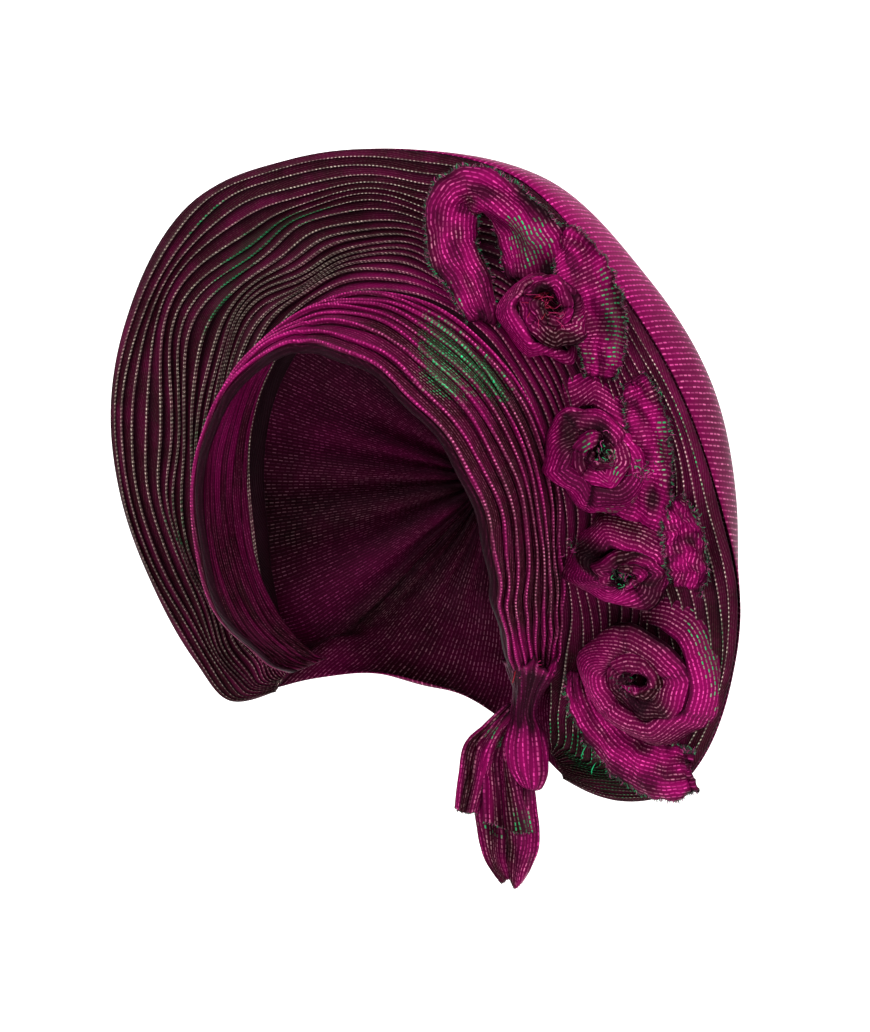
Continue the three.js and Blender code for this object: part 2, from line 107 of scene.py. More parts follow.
# The strips of cloth that lie on the fan: sections along each one's middle line, placed on the fan
# (along, across) and lifted off it, with half their width in millimetres and a twist in degrees.
STRIPS = {
    "loop_bow": dict(cup=-0.3, seed=71, ribs_along=True, sections=[
        (0.542, 0.0, 4, 7, 0), (0.523, 0.12, 9, 10, 10), (0.505, 0.3, 12, 11, 10),
        (0.501, 0.55, 14, 11.5, 12), (0.505, 0.78, 16, 11.5, 16), (0.516, 0.88, 16, 12, 18),
        (0.531, 0.84, 14, 14.5, 12), (0.543, 0.7, 11, 16, 4), (0.551, 0.52, 7, 14, 0)]),
    "leaf_petal": dict(cup=0.2, seed=73, ribs_along=False, sections=[
        (0.553, 0.93, 4, 6, 0), (0.564, 0.97, 7, 11, -8), (0.578, 0.92, 9, 13.5, -10),
        (0.591, 0.78, 8, 12.5, -6), (0.602, 0.6, 6, 9, 0), (0.608, 0.5, 5, 5.5, 0)]),
    "side_petal": dict(cup=0.16, seed=79, ribs_along=False, sections=[
        (0.618, 0.76, 4, 6.5, 0), (0.634, 0.76, 7, 9, -10), (0.65, 0.68, 8, 10, -12),
        (0.667, 0.57, 8, 11.5, -6), (0.682, 0.42, 7, 13, 0)]),
    "small_petal": dict(cup=0.3, seed=83, ribs_along=True, sections=[
        (0.675, 0.74, 4, 6, 0), (0.69, 0.8, 7, 9, -10), (0.706, 0.8, 8, 10, -10), (0.722, 0.74, 5, 8, -4)]),
    "end_fold": dict(cup=-0.3, seed=89, ribs_along=True, sections=[
        (0.782, 0.12, 7, 5, -30), (0.81, 0.2, 9, 7, -26), (0.836, 0.38, 10, 9.5, -18),
        (0.856, 0.66, 10, 12.5, -8), (0.862, 0.88, 8, 13.5, 0), (0.856, 1.02, 5, 9.5, 4)]),
}

# The flaps of the tie: the middle of each section (out, back, down) as shares of the tie's length from the
# gather, with half its width and its turn about the vertical.
FLAPS = {
    "front_flap": [
        (-0.12, 0.06, 0.06, 0.035, 18), (-0.19, 0.04, 0.19, 0.055, 22), (-0.245, 0.045, 0.31, 0.085, 26),
        (-0.255, 0.065, 0.48, 0.08, 30), (-0.265, 0.086, 0.655, 0.065, 34)],
    "side_flap": [
        (-0.08, 0.1, 0.08, 0.035, 8), (-0.12, 0.09, 0.21, 0.06, 10), (-0.14, 0.1, 0.34, 0.09, 12),
        (-0.1, 0.13, 0.5, 0.11, 16), (-0.04, 0.152, 0.69, 0.135, 20)],
    "lower_flap": [
        (-0.08, 0.17, 0.42, 0.1, 8), (-0.09, 0.18, 0.58, 0.16, 12), (-0.05, 0.2, 0.74, 0.16, 16),
        (-0.03, 0.215, 0.87, 0.12, 22), (0.0, 0.23, 0.97, 0.06, 26)],
}

# The gathered neck, likewise: the middle (out, back, up) and half its breadth
NECK = np.array([
    [-0.004, -0.15, 0.2, 0.125], [-0.012, -0.1, 0.125, 0.1], [-0.035, -0.02, 0.03, 0.066],
    [-0.058, 0.06, -0.08, 0.058], [-0.048, 0.105, -0.16, 0.08], [-0.03, 0.125, -0.27, 0.105],
    [-0.005, 0.14, -0.37, 0.1], [0.02, 0.15, -0.44, 0.06], [0.03, 0.152, -0.462, 0.02],
])


def rows_at(rows, place, closed=False):
    """Catmull-Rom through the rows of a table: row 0 at place 0, the last (or row 0 again) at place 1."""
    place = np.asarray(place, float)
    spans = len(rows) if closed else len(rows) - 1
    x = (np.mod(place, 1.0) if closed else np.clip(place, 0.0, 1.0)) * spans
    i = np.minimum(np.floor(x).astype(int), spans - 1)
    f = (x - i)[..., None]

    def pick(k):
        return rows[(i + k) % len(rows)] if closed else rows[np.clip(i + k, 0, len(rows) - 1)]

    a, b, c, d = pick(-1), pick(0), pick(1), pick(2)
    return b + 0.5 * f * (c - a + f * (2 * a - 5 * b + 4 * c - d + f * (3 * (b - c) + d - a)))


def section(place):
    """The section at a place from 0 to 1, as a dict of named arrays."""
    values = rows_at(SECTIONS, place)
    return {name: values[..., k] for k, name in enumerate(SECTION_NAMES)}


def mix(a, b, share):
    return a + (b - a) * share


def smooth(low, high, x):
    """0 below low, 1 above high, and an S between them."""
    t = np.clip((x - low) / (high - low), 0, 1)
    return t * t * (3 - 2 * t)


def unit(vectors):
    return vectors / np.maximum(np.linalg.norm(vectors, axis=-1, keepdims=True), 1e-9)


def stack(*parts):
    return np.stack(np.broadcast_arrays(*parts), axis=-1)


def ripple(seed, *coordinates, waves=7, low=0.5, high=1.6):
    """Smooth noise of about -1 to 1: cosines in seeded directions, their lengths about one unit."""
    random = np.random.default_rng(seed)
    total = 0.0
    for _ in range(waves):
        direction = random.normal(size=len(coordinates))
        direction *= random.uniform(low, high) / np.linalg.norm(direction)
        phase = random.uniform(0, 2 * np.pi)
        total = total + np.cos(2 * np.pi * sum(d * c for d, c in zip(direction, coordinates)) + phase)
    return total / math.sqrt(waves)


def blobs(u, v, spots):
    """The sum of soft round spots (u, v, half width in u, in v, strength) on a sheet."""
    return sum(s * np.exp(-(((u - a) / p) ** 2) - ((v - b) / q) ** 2) for a, b, p, q, s in spots)


class Form:
    """The head, and the smooth middle layers of band, fan and crown on it."""

    def __init__(self, sizes):
        self.breadth = sizes.head_breadth / MM
        self.length = sizes.head_length / MM
        self.rise = 0.5 * self.length
        self.fall = 0.59 * self.length
        self.band_lift = sizes.band_lift / MM
        self.radius = 1.133 * self.breadth
        self.hub_drop = 0.6 * self.breadth
        self.dish = sizes.fan_dish / MM
        self.wall = sizes.cloth_wall / MM
        self.rose = 0.295 * self.radius
        self.tie = 0.61 * self.breadth
        self.gather = np.array([0.507 * self.breadth, 0.19 * self.length, -1.093 * self.breadth])
        self.ring_rows = self.crown_ring()

    def head(self, turn, setting, lift):
        """An ellipsoid, deeper below its widest ring than above it, moved out by lift along its normal."""
        ring = np.sqrt(np.maximum(1 - setting**2, 0))
        a = np.radians(turn)
        half = stack(self.breadth / 2, self.length / 2, np.where(np.cos(a) > 0, self.rise, self.fall))
        point = half * stack(ring * np.sin(a), setting, ring * np.cos(a))
        point = point + unit(point / half**2) * np.asarray(lift)[..., None]
        return point - np.array([0, 0, self.rise])

    def band(self, u, v):
        """Between two curves on the head, brow edge at v 0 and rear edge at v 1."""
        s = section(u)
        stand = mix(s["brow_stand"], s["rear_stand"], v) * self.band_lift
        return self.head(mix(s["brow_turn"], s["rear_turn"], v), mix(s["brow_set"], s["rear_set"], v), stand)

    def hub(self, turn, reach, back):
        """Polar coordinates about the fan's hub, in planes across the Y axis."""
        a = np.radians(turn)
        return stack(reach * np.sin(a), back, reach * np.cos(a) - self.hub_drop)

    def fan(self, u, v):
        """A ruled surface from the root curve to the rim curve, dished between them."""
        s = section(u)
        across = np.clip(v, 0, 1)
        hollow = self.dish * np.sin(np.pi * across) * np.sqrt(np.sin(np.pi * np.clip(u, 0, 1)))
        return self.hub(
            mix(s["root_turn"], s["rim_turn"], v),
            mix(s["root_reach"], s["rim_reach"], v) * self.radius,
            mix(s["root_set"], s["rim_set"], v) * self.length / 2 + hollow,
        )

    def normal(self, surface, u, v, step=1e-3):
        """The cross product of the two slopes, by central differences."""
        across = surface(u + step, v) - surface(u - step, v)
        along = surface(u, v + step) - surface(u, v - step)
        return unit(np.cross(across, along))

    def crown_ring(self):
        """The closed curve behind the fan's rim and along the nape, each row a point and its swell."""
        u = np.linspace(0, 1, len(SECTIONS))
        one = np.ones_like(u)
        seat = self.fan(u, one) - self.normal(self.fan, u, one) * 2.6
        rim = np.column_stack([seat, SECTIONS[:, -1]])
        nape = self.hub(NAPE_HEM[:, 0], NAPE_HEM[:, 1] * self.radius, NAPE_HEM[:, 2] * self.length / 2)
        return np.vstack([rim, np.column_stack([nape, NAPE_HEM[:, 3]])])

    def crown(self, u, v):
        """A bag: the ring drawn in by a power of a cosine while it goes back by a power of a sine."""
        s = rows_at(self.ring_rows, u, closed=True)
        fall = np.asarray(v) * np.pi / 2
        swell = 1 + s[..., 3] * 0.1 * np.sin(np.pi * np.minimum(v / 0.55, 1))
        shrink = np.maximum(np.cos(fall), 0) ** 0.75 * swell
        back = mix(s[..., 1], 0.62 * self.length, np.maximum(np.sin(fall), 0) ** 1.15)
        return stack(s[..., 0] * shrink, back, mix(-0.48 * self.breadth, s[..., 2], shrink))

    def seat(self, along, across, lean=0.0, roll=0.0):
        """The frame on the fan: x out to the rim, y along the pleats, z off the face, leaned and rolled."""
        origin = self.fan(along, across)
        off = self.normal(self.fan, along, across)
        back = unit(self.fan(along - 1e-3, across) - origin)
        out = unit(np.cross(back, off))
        a, b = math.radians(lean), math.radians(roll)
        turn_y = np.array([[math.cos(a), 0, math.sin(a)], [0, 1, 0], [-math.sin(a), 0, math.cos(a)]])
        turn_z = np.array([[math.cos(b), -math.sin(b), 0], [math.sin(b), math.cos(b), 0], [0, 0, 1]])
        return origin, np.column_stack([out, np.cross(off, out), off]) @ turn_y @ turn_z


def grid_normals(points, ring=False):
    """Unit normals of a grid of points, as the cross product of its differences both ways."""
    if ring:
        along = np.roll(points, -1, axis=0) - np.roll(points, 1, axis=0)
    else:
        along = np.gradient(points, axis=0)
    return unit(np.cross(along, np.gradient(points, axis=1)))


def run_lengths(points, axis):
    """Distance travelled along a grid's lines, from their start."""
    steps = np.linalg.norm(np.diff(points, axis=axis), axis=-1)
    start = np.zeros_like(np.take(steps, [0], axis=axis))
    return np.concatenate([start, np.cumsum(steps, axis=axis)], axis=axis)


def thin_edge(count, low=0.3, middle=0.8):
    """Wall shares along a grid's side: full, and drawn in over the first and last two lines."""
    share = np.ones(count)
    share[[0, -1]] = low
    share[[1, -2]] = middle
    return share


def sheet_object(name, front, back, weave, marks, ring=False, eye=None):
    """A closed sheet: two layers of quads on one grid, facing both ways, and a strip round the edge.

    weave is the UV in millimetres for each grid point (one more column on a ring), marks the named point
    attributes, each one grid of values or a pair of grids, front and back. eye is a pair of points that
    close the last row of a ring, one for each layer.
    """
    columns, rows = front.shape[:2]
    spans = columns if ring else columns - 1
    i, j = (a.ravel() for a in np.meshgrid(np.arange(spans), np.arange(rows - 1), indexing="ij"))

    def ids(i, j, layer):
        return (i % columns) * rows + j + layer * columns * rows

    faces, tags = [], []

    def add(cells, layers):
        faces.append(np.stack([ids(a, b, k) for (a, b), k in zip(cells, layers)], axis=1))
        tags.append(np.stack([weave[a, b] for a, b in cells], axis=1))

    cell = [(i, j), (i + 1, j), (i + 1, j + 1), (i, j + 1)]
    add(cell, (0, 0, 0, 0))
    add(cell[::-1], (1, 1, 1, 1))
    k = np.arange(spans)
    first, last = np.zeros_like(k), np.full_like(k, rows - 1)
    add([(k + 1, first), (k, first), (k, first), (k + 1, first)], (0, 0, 1, 1))
    if eye is None:
        add([(k, last), (k + 1, last), (k + 1, last), (k, last)], (0, 0, 1, 1))
    if not ring:
        k = np.arange(rows - 1)
        first, last = np.zeros_like(k), np.full_like(k, columns - 1)
        add([(first, k), (first, k + 1), (first, k + 1), (first, k)], (0, 0, 1, 1))
        add([(last, k + 1), (last, k), (last, k), (last, k + 1)], (0, 0, 1, 1))
    quads, quad_tags = np.vstack(faces), np.vstack(tags)
    points = np.concatenate([front.reshape(-1, 3), back.reshape(-1, 3)])
    corners, loops, starts = quads.ravel(), quad_tags.reshape(-1, 2), np.arange(len(quads)) * 4
    values = {}
    for key, value in marks.items():
        layers = value if isinstance(value, tuple) else (value, value)
        values[key] = np.concatenate([np.broadcast_to(layer, (columns, rows)).ravel() for layer in layers])
    if eye is not None:
        tip = len(points)
        points = np.vstack([points, eye])
        k = np.arange(spans)
        edge = np.full_like(k, rows - 1)
        fans = [[ids(k, edge, 0), ids(k + 1, edge, 0), np.full_like(k, tip)],
                [ids(k + 1, edge, 1), ids(k, edge, 1), np.full_like(k, tip + 1)]]
        order = [[k, k + 1, k], [k + 1, k, k]]
        triangles = np.vstack([np.stack(f, axis=1) for f in fans])
        triangle_tags = np.vstack([np.stack([weave[a, edge] for a in o], axis=1) for o in order])
        starts = np.concatenate([starts, len(corners) + np.arange(len(triangles)) * 3])
        corners = np.concatenate([corners, triangles.ravel()])
        loops = np.concatenate([loops, triangle_tags.reshape(-1, 2)])
        for key, value in values.items():
            values[key] = np.append(value, [value[columns * rows - 1], value[-1]])
    return mesh_object(name, points, corners, starts, loops, values)


def mesh_object(name, points, corners, starts, loops, values):
    """Puts whole arrays into a smooth-shaded mesh: points in millimetres, faces as runs of corners."""
    mesh = bpy.data.meshes.new(name)
    mesh.vertices.add(len(points))
    mesh.vertices.foreach_set("co", (np.asarray(points) * MM).astype(np.float32).ravel())
    mesh.loops.add(len(corners))
    mesh.loops.foreach_set("vertex_index", corners.astype(np.int32))
    mesh.polygons.add(len(starts))
    mesh.polygons.foreach_set("loop_start", starts.astype(np.int32))
    mesh.polygons.foreach_set("use_smooth", np.ones(len(starts), bool))
    mesh.update(calc_edges=True)
    if loops is not None:
        mesh.uv_layers.new(name="weave").data.foreach_set("uv", loops.astype(np.float32).ravel())
    for key, value in values.items():
        layer = mesh.attributes.new(key, "FLOAT", "POINT")
        layer.data.foreach_set("value", np.asarray(value, dtype=np.float32).ravel())
    piece = bpy.data.objects.new(name, mesh)
    bpy.context.scene.collection.objects.link(piece)
    return piece


# How far the rows of beads on neighbouring pleats are out of step, in millimetres for each grid line
PLEAT_OFFSET = 0.413


def cloth_piece(name, middle, wall, marks, material, ribs_along=True, ring=False, eye=None,
                normals=None, from_end=False, guide=None):
    """A sheet round a grid of middle points, its wall drawn in at the free edges, and its flat size.

    The weave runs in millimetres along and across the grid, across it from the middle line or the end;
    along it is measured on the middle line or, where guide is given, on the line each one is guided by.
    """
    columns, rows = middle.shape[:2]
    out = grid_normals(middle, ring) if normals is None else normals
    share = thin_edge(rows)[None, :]
    if eye is not None:
        share = np.where(np.arange(rows) > rows / 2, 1.0, share[0])[None, :]
    if not ring:
        share = share * thin_edge(columns)[:, None]
    lift = out * (wall / 2 * np.broadcast_to(share, (columns, rows)))[..., None]
    closed = np.concatenate([middle, middle[:1]]) if ring else middle
    lengths = run_lengths(closed, 0)
    if guide is None:
        along = lengths[:, rows // 2][:, None] * np.ones(rows)
    else:
        along = lengths[:, guide] + PLEAT_OFFSET * guide
    across = run_lengths(closed, 1)
    across = across[:, -1:] - across if from_end else across - across[:, rows // 2:rows // 2 + 1]
    weave = np.stack([along, across] if ribs_along else [across, along], axis=-1)
    points = None
    if eye is not None:
        apart = out[:, -1].mean(axis=0) * wall / 2
        points = np.array([eye + apart, eye - apart])
    piece = sheet_object(f"{name}_cloth", middle + lift, middle - lift, weave, marks, ring, points)
    piece.data.materials.append(material)
    length = run_lengths(closed, 0)[-1].mean() * MM
    width = run_lengths(closed, 1)[:, -1].mean() * MM
    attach(piece, "root")
    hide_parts(name)
    return piece, (float(width), float(length))


def cloth_marks(tone, green, deep, crest=0.0):
    """The point attributes of a sheet, all but the crest held between 0 and 1; a pair is front and back."""
    # deep is painted shade: folds, hollows and shadows darkened in the colour.
    def held(value):
        return tuple(np.clip(v, 0, 1) for v in value) if isinstance(value, tuple) else np.clip(value, 0, 1)

    return {"tone": held(tone), "green": held(green), "crest": crest, "deep": held(deep)}


def pleat_lines(count, along, seed, spread, waves, last):
    """Borders between pleats, whose widths swell and shrink along the cloth; last scales the last one."""
    k = (np.arange(count) + 0.5) / count
    random = np.random.default_rng(seed)
    plain = random.uniform(-0.22, 0.22, count)
    noise = ripple(seed, along[:, None] * waves, k[None, :] * 3.2, waves=9)
    widths = np.exp(plain[None, :] + spread * noise)
    widths[:, -1] *= last
    edges = np.concatenate([np.zeros((len(along), 1)), np.cumsum(widths, axis=1)], axis=1)
    return edges / edges[:, -1:]


def pleated_grid(count, columns, phases, seed, spread, waves, last=1.0):
    """u and v of a grid whose lines follow the pleats, and each line's phase in its pleat."""
    along = np.linspace(0, 1, columns)
    lines = pleat_lines(count, along, seed, spread, waves, last)
    phase = np.append(np.tile(phases, count), 1.0)
    index = np.append(np.repeat(np.arange(count), len(phases)), count - 1)
    v = lines[:, index] * (1 - phase) + lines[:, index + 1] * phase
    u = np.broadcast_to(along[:, None], v.shape)
    return u, v, np.broadcast_to(phase[None, :], v.shape), np.broadcast_to(index[None, :], v.shape)


class Weaver:
    """Short calls that add and join the nodes of one material."""

    def __init__(self, name):
        self.material = bpy.data.materials.new(name)
        self.material.use_nodes = True
        self.tree = self.material.node_tree
        self.shader = self.tree.nodes["Principled BSDF"]

    def feed(self, socket, value):
        if isinstance(value, bpy.types.NodeSocket):
            self.tree.links.new(value, socket)
        else:
            socket.default_value = value

    def math(self, operation, *values, clamp=False):
        node = self.tree.nodes.new("ShaderNodeMath")
        node.operation = operation
        node.use_clamp = clamp
        for socket, value in zip(node.inputs, values):
            self.feed(socket, value)
        return node.outputs[0]

    def ramp(self, value, low, high, start=0.0, end=1.0):
        """start below low, end above high, an S between."""
        node = self.tree.nodes.new("ShaderNodeMapRange")
        node.interpolation_type = "SMOOTHSTEP"
        for key, item in (("Value", value), ("From Min", low), ("From Max", high),
                          ("To Min", start), ("To Max", end)):
            self.feed(node.inputs[key], item)
        return node.outputs[0]

    def times(self, a, b, clamp=False):
        return self.math("MULTIPLY", a, b, clamp=clamp)

    def plus(self, a, b, clamp=False):
        return self.math("ADD", a, b, clamp=clamp)

    def less(self, a, b):
        return self.math("SUBTRACT", a, b)

    def scaled(self, value, by, start, clamp=False):
        """value times by, plus start."""
        return self.math("MULTIPLY_ADD", value, by, start, clamp=clamp)

    def wave(self, place):
        """A triangle wave: 0 at every whole number and 1 between."""
        return self.math("PINGPONG", self.times(place, 2.0), 1.0)

    def mix(self, share, a, b):
        """From colour a to colour b."""
        node = self.tree.nodes.new("ShaderNodeMix")
        node.data_type = "RGBA"
        self.feed(node.inputs[0], share)
        for socket, value in ((node.inputs[6], a), (node.inputs[7], b)):
            self.feed(socket, value if isinstance(value, bpy.types.NodeSocket) else (*value[:3], 1.0))
        return node.outputs[2]

    def mark(self, name):
        node = self.tree.nodes.new("ShaderNodeAttribute")
        node.attribute_name = name
        return node.outputs["Fac"]

    def weave(self):
        uv = self.tree.nodes.new("ShaderNodeUVMap")
        uv.uv_map = "weave"
        split = self.tree.nodes.new("ShaderNodeSeparateXYZ")
        self.feed(split.inputs[0], uv.outputs[0])
        return split.outputs[0], split.outputs[1]

    def noise(self, scale, detail=2.0, roughness=0.5):
        """Cloudy noise on the object's own coordinates, scale in clouds to the metre."""
        place = self.tree.nodes.new("ShaderNodeTexCoord")
        node = self.tree.nodes.new("ShaderNodeTexNoise")
        self.feed(node.inputs["Vector"], place.outputs["Object"])
        for key, value in (("Scale", scale), ("Detail", detail), ("Roughness", roughness)):
            self.feed(node.inputs[key], value)
        return node.outputs[0]

    def chance(self, x, y=0.0):
        """A random value for each pair of whole numbers."""
        join = self.tree.nodes.new("ShaderNodeCombineXYZ")
        self.feed(join.inputs[0], x)
        self.feed(join.inputs[1], y)
        node = self.tree.nodes.new("ShaderNodeTexWhiteNoise")
        node.noise_dimensions = "2D"
        self.feed(node.inputs["Vector"], join.outputs[0])
        return node.outputs["Value"]


def ribbed_cloth(name, colours, rib, bead, show, dash, line, crest=0.0, edge=(0.6, 0.97), pink=0.0, fill=0.5,
                 relief=0.3, sway=0.25):
    """Cloth with ribs of metallic thread, each rib a row of short dashes.

    Across the ribs a triangle wave of the given pitch is cut to a line; along each rib, shifted by a
    random share, another is cut to dashes. show is how strongly they stand out everywhere. Where the mark
    crest is 1 a row of rounder beads runs along the grid instead, as strong as crest says and as wide as
    the mark is above edge; these beads of metallic thread show far more strongly than those on the flats,
    a painted highlight along the crests. The mark tone mixes the dark ground into the bright one and pale
    thread into pink, pink adds to the thread alone, deep is painted shade that darkens folds towards
    fold_shade and turns the metal down there, green colours the threads and adds fill to show. relief is
    the height of the threads in millimetres, sway how far the ribs wander.
    """
    w = Weaver(name)
    x, y = w.weave()
    tone, ridge, deep, green = (w.mark(key) for key in ("tone", "crest", "deep", "green"))
    cloud = w.noise(70.0, 3.0, 0.6)
    fine = w.noise(900.0, 2.0, 0.7)

    wander = w.times(w.less(w.noise(180.0, 1.0), 0.5), sway)
    place = w.plus(w.math("DIVIDE", y, rib), wander)
    row = w.math("FLOOR", place)
    wave = w.wave(place)
    stripe = w.ramp(wave, *line)
    knot = w.plus(w.math("DIVIDE", x, bead), w.times(w.chance(row), 7.0))
    dashes = w.ramp(w.wave(knot), *dash)
    luck = w.chance(row, w.math("FLOOR", knot))
    thread = w.times(w.times(stripe, dashes), w.scaled(w.math("POWER", luck, 1.6), 0.95, 0.12))
    strength = w.times(w.scaled(tone, 0.6, 0.4), show)
    shown = w.times(thread, w.scaled(green, fill, strength), clamp=True)

    # Painted highlight: beads of metallic thread along each crest, far brighter than the threads on the
    # flats.
    bead_place = w.math("DIVIDE", x, bead)
    bead_luck = w.chance(w.math("FLOOR", bead_place), 3.0)
    beads = w.ramp(w.wave(bead_place), 0.4, 0.85)
    beads = w.times(beads, w.scaled(w.math("POWER", bead_luck, 1.4), 0.85, 0.25))
    beads = w.times(beads, w.ramp(w.noise(45.0, 2.0), 0.3, 0.62, 0.4, 1.0))
    beads = w.times(w.scaled(beads, 0.95, 0.05), w.ramp(ridge, *edge))
    shown = w.math("MAXIMUM", shown, w.times(beads, crest))

    shade = w.plus(tone, w.times(w.less(cloud, 0.5), 0.5), clamp=True)
    ground = w.mix(shade, colours.dark_ground, colours.bright_ground)
    ground = w.mix(w.times(stripe, 0.4), ground, w.mix(shade, colours.dark_rib, colours.bright_rib))
    metal = w.mix(w.plus(shade, pink, clamp=True), colours.pale_thread, colours.pink_thread)
    patch = w.plus(green, w.times(w.less(w.plus(luck, cloud), 1.0), 0.6))
    leaf = w.times(w.ramp(green, 0.02, 0.3), w.ramp(patch, 0.25, 0.6))
    metal = w.mix(leaf, metal, colours.green_thread)
    ground = w.mix(w.times(w.ramp(green, 0.4, 1.0), 0.25), ground, colours.green_ground)
    surface = w.mix(shown, ground, metal)
    # Painted shade: deep mixes the colour towards fold_shade in folds and hollows.
    surface = w.mix(w.times(deep, 0.92), surface, colours.fold_shade)
    w.feed(w.shader.inputs["Base Color"], surface)

    rough = w.scaled(shown, -0.16, w.scaled(fine, 0.16, 0.38))
    w.feed(w.shader.inputs["Roughness"], rough)
    # The painted shade also turns the metal down in the folds.
    open_cloth = w.less(1.0, w.times(deep, 0.95))
    w.feed(w.shader.inputs["Metallic"], w.times(w.scaled(shown, 0.6, 0.12), open_cloth, clamp=True))
    bump = w.tree.nodes.new("ShaderNodeBump")
    bump.inputs["Strength"].default_value = 0.75
    bump.inputs["Distance"].default_value = relief * MM
    w.feed(bump.inputs["Height"], w.scaled(shown, 0.7, w.scaled(wave, 0.5, w.times(fine, 0.3))))
    w.feed(w.shader.inputs["Normal"], bump.outputs[0])
    w.shader.inputs["Specular IOR Level"].default_value = 0.025
    return w.material


def thread_finish(name="loose_thread", plain=None):
    """Loose threads: dark grey-green, or pink or green by their marks; plain stands in for the dark one."""
    if name not in bpy.data.materials:
        colours = bpy.context.scene.gele_colours
        w = Weaver(name)
        shade = w.mix(w.mark("tone"), plain or colours.dark_thread, colours.pink_thread)
        w.feed(w.shader.inputs["Base Color"], w.mix(w.mark("green"), shade, colours.green_thread))
        w.shader.inputs["Roughness"].default_value = 0.5
        w.shader.inputs["Specular IOR Level"].default_value = 0.1
    return bpy.data.materials[name]


LOOKS = {
    "fan_cloth": dict(rib=1.0, bead=2.0, show=0.07, crest=1.8, dash=(0.25, 0.75), line=(0.2, 0.8), fill=0.0),
    "band_cloth": dict(rib=1.5, bead=1.7, show=0.3, crest=0.95, dash=(0.15, 0.6), line=(0.4, 0.9),
                       edge=(0.82, 0.99), pink=0.55, fill=0.95),
    "bag_cloth": dict(rib=1.95, bead=2.8, show=0.95, dash=(0.12, 0.5), line=(0.58, 0.95), pink=0.3,
                      relief=0.25),
    "rose_cloth": dict(rib=1.9, bead=2.3, show=1.0, dash=(0.12, 0.52), line=(0.52, 0.93), pink=0.3,
                       relief=0.45),
}


def cloths():
    """The cloth's finishes, made once: on the fan, the band, the plain bag and the rolled ribbons."""
    for name, look in LOOKS.items():
        if name not in bpy.data.materials:
            ribbed_cloth(name, bpy.context.scene.gele_colours, **look)
    return bpy.data.materials


class GeleSizes(PropertyGroup):
    head_breadth: FloatProperty(name="Head breadth", description="Widest breadth of the head that wears it",
                                default=0.150, unit="LENGTH")
    head_length: FloatProperty(name="Head length", description="From brow to back of the head",
                               default=0.190, unit="LENGTH")
    band_lift: FloatProperty(name="Band lift", description="The band's middle layer off the head",
                             default=0.006, unit="LENGTH")
    fan_dish: FloatProperty(name="Fan dish", description="How far the fan's face is hollowed",
                            default=0.009, unit="LENGTH")
    cloth_wall: FloatProperty(name="Cloth wall", description="Thickness of the folded cloth",
                              default=0.0011, unit="LENGTH")


class GelePleats(PropertyGroup):
    fan_count: IntProperty(name="Fan pleats", description="Ridges from root to rim", default=18)
    fan_depth: FloatProperty(name="Fan pleat depth", description="Height of a fan ridge",
                             default=0.0030, unit="LENGTH")
    fan_stray: FloatProperty(name="Fan stray", description="How unevenly the fan's ridges run", default=0.3)
    band_count: IntProperty(name="Band pleats", description="Ridges from brow to rear", default=9)
    band_depth: FloatProperty(name="Band pleat depth", description="Height of a band ridge",
                              default=0.0026, unit="LENGTH")
    band_stray: FloatProperty(name="Band stray", description="How unevenly the band's ridges run",
                              default=0.2)


class GeleColours(PropertyGroup):
    dark_ground: FloatVectorProperty(name="Dark ground", description="The cloth where it looks wine dark",
                                     subtype="COLOR", default=(0.014, 0.0004, 0.003))
    bright_ground: FloatVectorProperty(name="Bright ground", description="The cloth where it looks magenta",
                                       subtype="COLOR", default=(0.16, 0.0008, 0.056))
    dark_rib: FloatVectorProperty(name="Dark rib", description="A rib's ground on the dark cloth",
                                  subtype="COLOR", default=(0.05, 0.006, 0.018))
    bright_rib: FloatVectorProperty(name="Bright rib", description="A rib's ground on the bright cloth",
                                    subtype="COLOR", default=(0.3, 0.003, 0.115))
    pale_thread: FloatVectorProperty(name="Pale thread", description="Metallic thread on the dark cloth",
                                     subtype="COLOR", default=(0.56, 0.47, 0.39))
    pink_thread: FloatVectorProperty(name="Pink thread", description="Metallic thread on the bright cloth",
                                     subtype="COLOR", default=(0.82, 0.06, 0.36))
    dark_thread: FloatVectorProperty(name="Dark thread", description="Frayed ends of the cloth",
                                     subtype="COLOR", default=(0.035, 0.04, 0.034))
    green_thread: FloatVectorProperty(name="Green thread", description="The metallic thread's second colour",
                                      subtype="COLOR", default=(0.015, 0.42, 0.15))
    green_ground: FloatVectorProperty(name="Green ground", description="The cloth between green threads",
                                      subtype="COLOR", default=(0.02, 0.028, 0.018))
    # Painted shade: the colour that the mark deep mixes in where a fold lies in shade.
    fold_shade: FloatVectorProperty(name="Fold shade", description="The cloth deep inside a fold",
                                    subtype="COLOR", default=(0.005, 0.0004, 0.002))


def knife_ridge(phase, place, width):
    """A pleat's two shapes over its phase: a narrow round crest, and a slope that falls away behind it."""
    crest = np.exp(-(((phase - place) / width) ** 2))
    return crest, np.where(phase < place, phase / place, (1 - phase) / (1 - place))


def add_rows(rows, *grids):
    """Puts copies of each grid's first line before it, so that a hem can be worked on them."""
    return [np.concatenate([np.repeat(g[:, :1], rows, axis=1), g], axis=1) for g in grids]


def crest_lines(ridge, index):
    """For each grid line, the number of the line on its own pleat's crest."""
    return np.array([np.argmax(np.where(index[0] == k, ridge[0], -1.0)) for k in index[0]])


